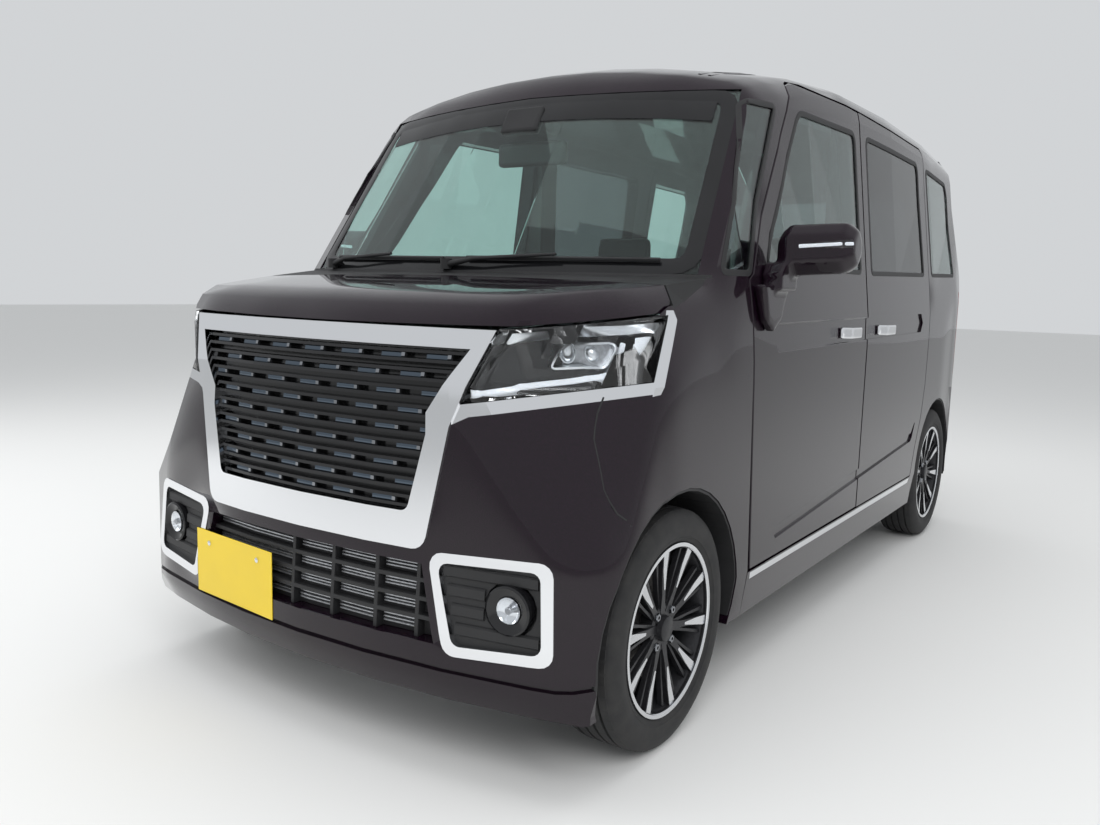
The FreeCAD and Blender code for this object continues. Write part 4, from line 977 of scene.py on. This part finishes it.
def add_cabin_parts():
    for row in DASH_BLOCKS:
        block(*row)
    screen, normal = from_front(0.0, MIRROR_Z)
    for name, depth, up, size, rounding, tilt in SCREEN_BLOCKS:
        block(name, screen - normal * depth + Vector((0, 0, up)), size, rounding, BLACK, "body", tilt)


# Seats, as the frame has them: cushion's front edge, floor height, inner and outer edge

SEATS = (("front_seats", (-0.33, 0.25, 0.06, 0.57)), ("rear_seats", (0.56, 0.25, 0.06, 0.514)))
SHRINK, REST_HALF, BACK_TAPER = 0.012, 0.125, 0.94
CLOTH_VOXEL, CLOTH_FRAMES, CLOTH_PRESSURE = 0.014, 20, 4.0
ACROSS, BOLSTER_AT, BOLSTER_EDGE, EDGE_DROP, BOLSTER_POWER = 10, 0.45, 0.97, 0.45, 0.7
POST_R, POST_X = 0.006, 0.045


def pad_form(sections):
    bm = bmesh.new()
    bridge(bm, sections, ends=True)
    return mesh_from("pad", bm)


def evaluated_mesh(piece):
    graph = bpy.context.evaluated_depsgraph_get()
    graph.update()
    return bpy.data.meshes.new_from_object(piece.evaluated_get(graph))


def swollen(mesh, cap):
    """The pad's mesh after a short cloth run under pressure, with no point moved further than cap."""
    piece = new_object("pad", mesh)
    remesh = piece.modifiers.new("remesh", "REMESH")
    remesh.mode = "VOXEL"
    remesh.voxel_size = CLOTH_VOXEL
    piece.data = start = result = evaluated_mesh(piece)
    piece.modifiers.clear()
    cloth = piece.modifiers.new("cloth", "CLOTH")
    cloth.settings.use_pressure = True
    cloth.settings.uniform_pressure_force = CLOTH_PRESSURE
    cloth.settings.effector_weights.gravity = 0.0
    cloth.point_cache.frame_start = 1
    cloth.point_cache.frame_end = CLOTH_FRAMES
    for number in range(1, CLOTH_FRAMES + 1):
        bpy.context.scene.frame_set(number)
    result = evaluated_mesh(piece)
    for vertex, old in zip(result.vertices, start.vertices):
        move = vertex.co - old.co
        if move.length > cap:
            vertex.co = old.co + move.normalized() * cap
    piece.modifiers.clear()
    bpy.context.scene.frame_set(1)
    bpy.data.objects.remove(piece)
    return result


def seat_forms(width):
    """Cushion, back and head rest of one seat about x = 0, its cushion's front edge at y = 0."""
    half = width / 2 - SHRINK

    def across(rise):
        """Steps from side to side, with the rise of the side bolsters."""
        for t in spread(-1.0, 1.0, ACROSS):
            lift = rise * (max(0.0, abs(t) - BOLSTER_AT) / (1 - BOLSTER_AT)) ** BOLSTER_POWER
            yield half * t, lift * (1.0 if abs(t) < BOLSTER_EDGE else EDGE_DROP)

    cushion = [[Vector((x, y, z)) for y, z in (
        (0.012, 0.452), (0.002, 0.5), (0.035, 0.54 + lift), (0.23, 0.528 + lift), (0.425, 0.512 + lift),
        (0.435, 0.445))] for x, lift in across(0.022)]
    back = [[Vector((x * taper, y, z)) for y, z, taper in (
        (0.44 - lift, 0.56, 1), (0.462 - lift, 0.76, 1), (0.52 - lift, 1.0, 1),
        (0.552, 1.072, BACK_TAPER), (0.6, 1.068, BACK_TAPER), (0.585, 0.9, 1), (0.535, 0.52, 1))]
            for x, lift in across(0.024)]
    rest = [[Vector((x, y, z)) for y, z in ((0.58, 1.14), (0.592, 1.258), (0.628, 1.256), (0.64, 1.14))]
            for x in spread(SHRINK - REST_HALF, REST_HALF - SHRINK, 4)]
    return (("cushion", cushion, 0.022), ("back", back, 0.022), ("rest", rest, 0.014))


def add_seats():
    for node_name, (front_y, floor_z, x0, x1) in SEATS:
        for label, sections, cap in seat_forms(x1 - x0):
            puffed = swollen(pad_form(sections), cap)
            for hand, side in SIDES:
                mesh = puffed.copy()
                mesh.transform(Matrix.Translation((side * (x0 + x1) / 2, front_y, 0)))
                mesh.shade_smooth()
                piece = add_object(f"{node_name}_{label}_{hand}", mesh, CLOTH, "body")
                piece.modifiers.new("smooth", "SUBSURF").render_levels = 1
                if (label, side) == ("cushion", 1):
                    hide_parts(node_name)
        for hand, side in SIDES:
            x = side * (x0 + x1) / 2
            block(f"{node_name}_base_{hand}", (x, front_y + 0.235, (floor_z + 0.45) / 2),
                  (x1 - x0 - 0.08, 0.34, 0.45 - floor_z), 0.01, BLACK)
            for n, post_x in enumerate((x - POST_X, x + POST_X)):
                ends = [Vector((post_x, front_y + 0.575, 1.055)), Vector((post_x, front_y + 0.604, 1.165))]
                tube(f"{node_name}_post_{hand}_{n}", ends, POST_R, CHROME)


# Engine bay and the front doors' insides, as blocks: name, centre, size, rounding, material

BAY = (
    ("bay_battery", (0.365, -1.27, 0.79), (0.125, 0.23, 0.2), 0.012, BLACK),
    ("bay_coolant_tank", (-0.35, -1.38, 0.85), (0.095, 0.2, 0.11), 0.012, LINING),
    ("bay_air_box", (0.34, -1.48, 0.85), (0.08, 0.14, 0.13), 0.012, BLACK),
    ("bay_engine_cover", (0.0, -1.32, 0.893), (0.44, 0.34, 0.026), 0.012, BLACK),
    ("bay_washer_neck", (-0.36, -1.24, 0.83), (0.05, 0.05, 0.1), 0.01, LINING),
)
BAY_CAP = ((0.0, 0.018), (0.018, 0.018), (0.022, 0.014), (0.022, 0.0))
BAY_CAPS = (("oil", (0.1, -1.36, 0.905)), ("coolant", (-0.35, -1.43, 0.904)),
            ("washer", (-0.36, -1.24, 0.88)))
DOOR_INSIDE = (
    ("arm_rest_", (0.672, -0.33, 0.815), (0.036, 0.42, 0.05), 0.012, BLACK),
    ("door_pocket_", (0.674, -0.36, 0.47), (0.03, 0.56, 0.14), 0.012, BLACK),
    ("door_lever_", (0.672, -0.56, 0.9), (0.03, 0.1, 0.035), 0.008, CHROME),
)


def add_engine_bay():
    for row in BAY:
        block(*row)
    for label, place in BAY_CAPS:
        turned_on("bay_cap_" + label, Vector(place), Vector((0, 0, 1)), BAY_CAP, GLOSS, 24)


def add_door_inside(hand, side):
    for label, (x, y, z), size, rounding, material in DOOR_INSIDE:
        block(label + hand, (x * side, y, z), size, rounding, material, "front_door_" + hand)


add_steering_wheel()
add_cabin_parts()
add_seats()
add_engine_bay()
both_sides(add_door_inside)


# Wheels

TYRE_R, BEAD_R, CROWN_X = 0.281, 0.1905, 0.062
TREAD_STEPS, RIM_STEPS, HUB_STEPS = 180, 120, 48
GROOVES, GROOVE_HALF, GROOVE_DEPTH, GROOVE_LEAN = (-0.042, -0.014, 0.014, 0.042), 0.0038, 0.007, 0.001
CROWN_DROP, LAND_DROP = 0.0035, 0.0004
# Outer side wall as (x, r), from the crown down to the bead
WALL = ((0.0695, TYRE_R - 0.008), (0.0755, TYRE_R - 0.018), (0.0795, 0.255), (0.0822, 0.244), (0.0825, 0.235),
        (0.0812, 0.226), (0.0795, 0.22), (0.0795, 0.2175), (0.0775, 0.2165), (0.0745, 0.209),
        (0.0715, 0.2045), (0.069, 0.2035), (0.068, 0.2), (0.068, BEAD_R))
# Shoulder block as (x, height over the tread) corners, its half length along the tread, and its slant
LUGS, LUG_HALF, LUG_SLANT = 60, 0.0105, -0.06
LUG = ((0.0785, -0.03), (0.0785, -0.024), (0.063, -0.0035), (0.0475, -0.0008), (0.0475, -0.03))

RIM_X, RIM_R, RIM_WELL = 0.074, 0.203, 0.1785
BARREL = ((-RIM_X, RIM_WELL), (-RIM_X, RIM_R), (-0.0685, RIM_R), (-0.0685, BEAD_R), (0.0685, BEAD_R),
          (0.0685, 0.2015), (0.0715, RIM_R), (RIM_X, 0.2015), (0.0735, 0.1965), (0.067, 0.192),
          (0.052, 0.186), (0.02, 0.176), (-0.02, 0.168), (-0.06, 0.168))
LIP = ((0.0725, 0.2025), (0.0746, 0.2022), (0.0746, 0.1935), (0.0722, 0.1915), (0.0705, 0.194))
HUB = ((0.02, 0.0), (0.02, 0.058), (0.05, 0.056), (0.053, 0.048), (0.05, 0.034), (0.052, 0.031),
       (0.0635, 0.029), (0.066, 0.024), (0.0665, 0.0))
HUB_BORE = 1e-5
CAP_X = 0.058
CAP = ((0.0, 0.0035), (0.016, 0.0032), (0.019, 0.001), (0.024, 0.0035), (0.0265, 0.002), (0.0265, -0.002))
# Spokes as (r, half width, face x) rows: broad ones, their machined tips, and fine ones at both sides of each
SPOKES, FINE_TURN = 10, 0.16
BROAD, BROAD_BACK = ((0.03, 0.011, 0.052), (0.085, 0.0075, 0.0575), (0.15, 0.009, 0.0617),
                     (0.19, 0.0125, 0.0672)), -0.022
TIP, TIP_BACK = ((0.098, 0.003, 0.0605), (0.15, 0.0085, 0.0637), (0.1935, 0.012, 0.0692)), -0.004
FINE, FINE_BACK = ((0.045, 0.0045, 0.049), (0.12, 0.0032, 0.0535), (0.188, 0.0042, 0.0605)), -0.012
NUTS, NUT_RING_R = 4, 0.05
NUT = ((0.036, 0.0105), (0.057, 0.0105), (0.0595, 0.0085), (0.0595, 0.0045), (0.052, 0.004))


def tyre_profile():
    """(x, r) corners round the tyre's section, with the long grooves."""
    crown = [(-CROWN_X, TYRE_R - CROWN_DROP)]
    for x in GROOVES:
        floor, inner = TYRE_R - GROOVE_DEPTH, GROOVE_HALF - GROOVE_LEAN
        crown += [(x - GROOVE_HALF, TYRE_R - LAND_DROP), (x - inner, floor), (x + inner, floor),
                  (x + GROOVE_HALF, TYRE_R - LAND_DROP)]
    crown.append((CROWN_X, TYRE_R - CROWN_DROP))
    return mirrored(reversed(WALL), -1) + crown + list(WALL)


def add_tyre(name, body, place):
    piece = ring(name + "_tread", tyre_profile(), TREAD_STEPS, RUBBER, body, place, smooth_deg=BAR_DEG)
    bm = bmesh.new()
    for angle in turns(LUGS):
        turn = Matrix.Rotation(angle, 4, "X")
        for edge in (-1, 1):
            rows = [[turn @ Vector((x, s + LUG_SLANT * x, TYRE_R + up)) + place
                     for x, up in mirrored(LUG, edge)] for s in (-LUG_HALF, LUG_HALF)]
            bridge(bm, rows, ends=True)
    from_bmesh(name + "_blocks", bm, RUBBER, body)
    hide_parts(name)


def add_spoke(bm, outline, back, angle, place, side):
    """Spoke from rows of (r, half width, face x), as deep as back."""
    turn = Matrix.Rotation(angle, 4, "X")
    corners = [(r, -w, x) for r, w, x in outline] + [(r, w, x) for r, w, x in reversed(outline)]
    front, rear = bridge(bm, [[turn @ Vector(((x + shift) * side, w, r)) + place for r, w, x in corners]
                              for shift in (0.0, back)])
    last = len(corners) - 1
    for i in range(len(outline) - 1):
        bm.faces.new((front[i], front[i + 1], front[last - 1 - i], front[last - i]))
        bm.faces.new((rear[last - i], rear[last - 1 - i], rear[i + 1], rear[i]))


def add_nuts(name, body, place, side):
    bm = bmesh.new()
    for angle in turns(NUTS, 0.5):
        turn = Matrix.Rotation(angle, 4, "X")
        rows = bridge(bm, [[turn @ Vector((x * side, r * sin(t), NUT_RING_R + r * cos(t))) + place
                            for t in turns(6)] for x, r in NUT])
        bm.faces.new(rows[-1])
    from_bmesh(name + "_nuts", bm, DARK_CHROME, body)


def add_rim(name, body, place, side):
    ring(name + "_barrel", mirrored(BARREL, side), RIM_STEPS, ALLOY_DARK, body, place)
    ring(name + "_lip", mirrored(LIP, side), RIM_STEPS, ALLOY, body, place)
    dark, machined = bmesh.new(), bmesh.new()
    for angle in turns(SPOKES, 0.25):
        add_spoke(dark, BROAD, BROAD_BACK, angle, place, side)
        add_spoke(machined, TIP, TIP_BACK, angle, place, side)
        for turned in (-FINE_TURN, FINE_TURN):
            add_spoke(dark, FINE, FINE_BACK, angle + turned, place, side)
    from_bmesh(name + "_spokes", dark, ALLOY_DARK, body)
    from_bmesh(name + "_tips", machined, ALLOY, body)
    hub = [(x * side, r + HUB_BORE) for x, r in HUB]
    piece = ring(name + "_hub", hub, HUB_STEPS, ALLOY_DARK, body, place, split=True)
    outward = Vector((side, 0, 0))
    turned_on(name + "_cap", place + outward * CAP_X, outward, CAP, DARK_CHROME, 32, body)
    add_nuts(name, body, place, side)
    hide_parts(name)


for hand, side in SIDES:
    for end in ("front", "rear"):
        label = f"{end}_{hand}"
        low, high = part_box("tyre_" + label)
        centre = (Vector(low) + Vector(high)) / 2
        add_tyre("tyre_" + label, "wheel_" + label, centre)
        add_rim("rim_" + label, "wheel_" + label, centre, side)


# Stage: pale floor, soft light

FLOOR_HALF = 30.0
SKY, SKY_STRENGTH = (0.8, 0.82, 0.84, 1), 0.8
# Name, place, target, size, watts
LIGHTS = (
    ("key", (3.5, -4.5, 4.5), (0, -0.5, 0.6), (4.0, 3.0), 170),
    ("top", (0.0, 0.0, 5.5), (0, 0, 0), (5.0, 6.0), 140),
    ("fill", (-5.0, -3.0, 3.0), (0, 0, 0.7), (3.0, 3.0), 80),
)


def add_light(name, place, target, size, power):
    data = bpy.data.lights.new(name, "AREA")
    data.shape = "RECTANGLE"
    data.size, data.size_y = size
    data.energy = power
    light = new_object(name, data)
    light.location = place
    light.rotation_euler = (Vector(target) - Vector(place)).to_track_quat("-Z", "Y").to_euler()
    light.visible_glossy = False


def add_stage():
    mesh = bpy.data.meshes.new("floor")
    corners = [(x * FLOOR_HALF, y * FLOOR_HALF, 0) for x, y in ((-1, -1), (1, -1), (1, 1), (-1, 1))]
    mesh.from_pydata(corners, [], [(0, 1, 2, 3)])
    floor = new_object("floor", mesh)
    mesh.materials.append(shader("floor_pale", (0.78, 0.78, 0.77), 0.85))
    world = bpy.data.worlds.new("studio")
    bpy.context.scene.world = world
    world.use_nodes = True
    background = world.node_tree.nodes["Background"]
    background.inputs["Color"].default_value = SKY
    background.inputs["Strength"].default_value = SKY_STRENGTH
    for row in LIGHTS:
        add_light(*row)
    bpy.context.scene.view_settings.view_transform = "Standard"


add_stage()
add_camera()
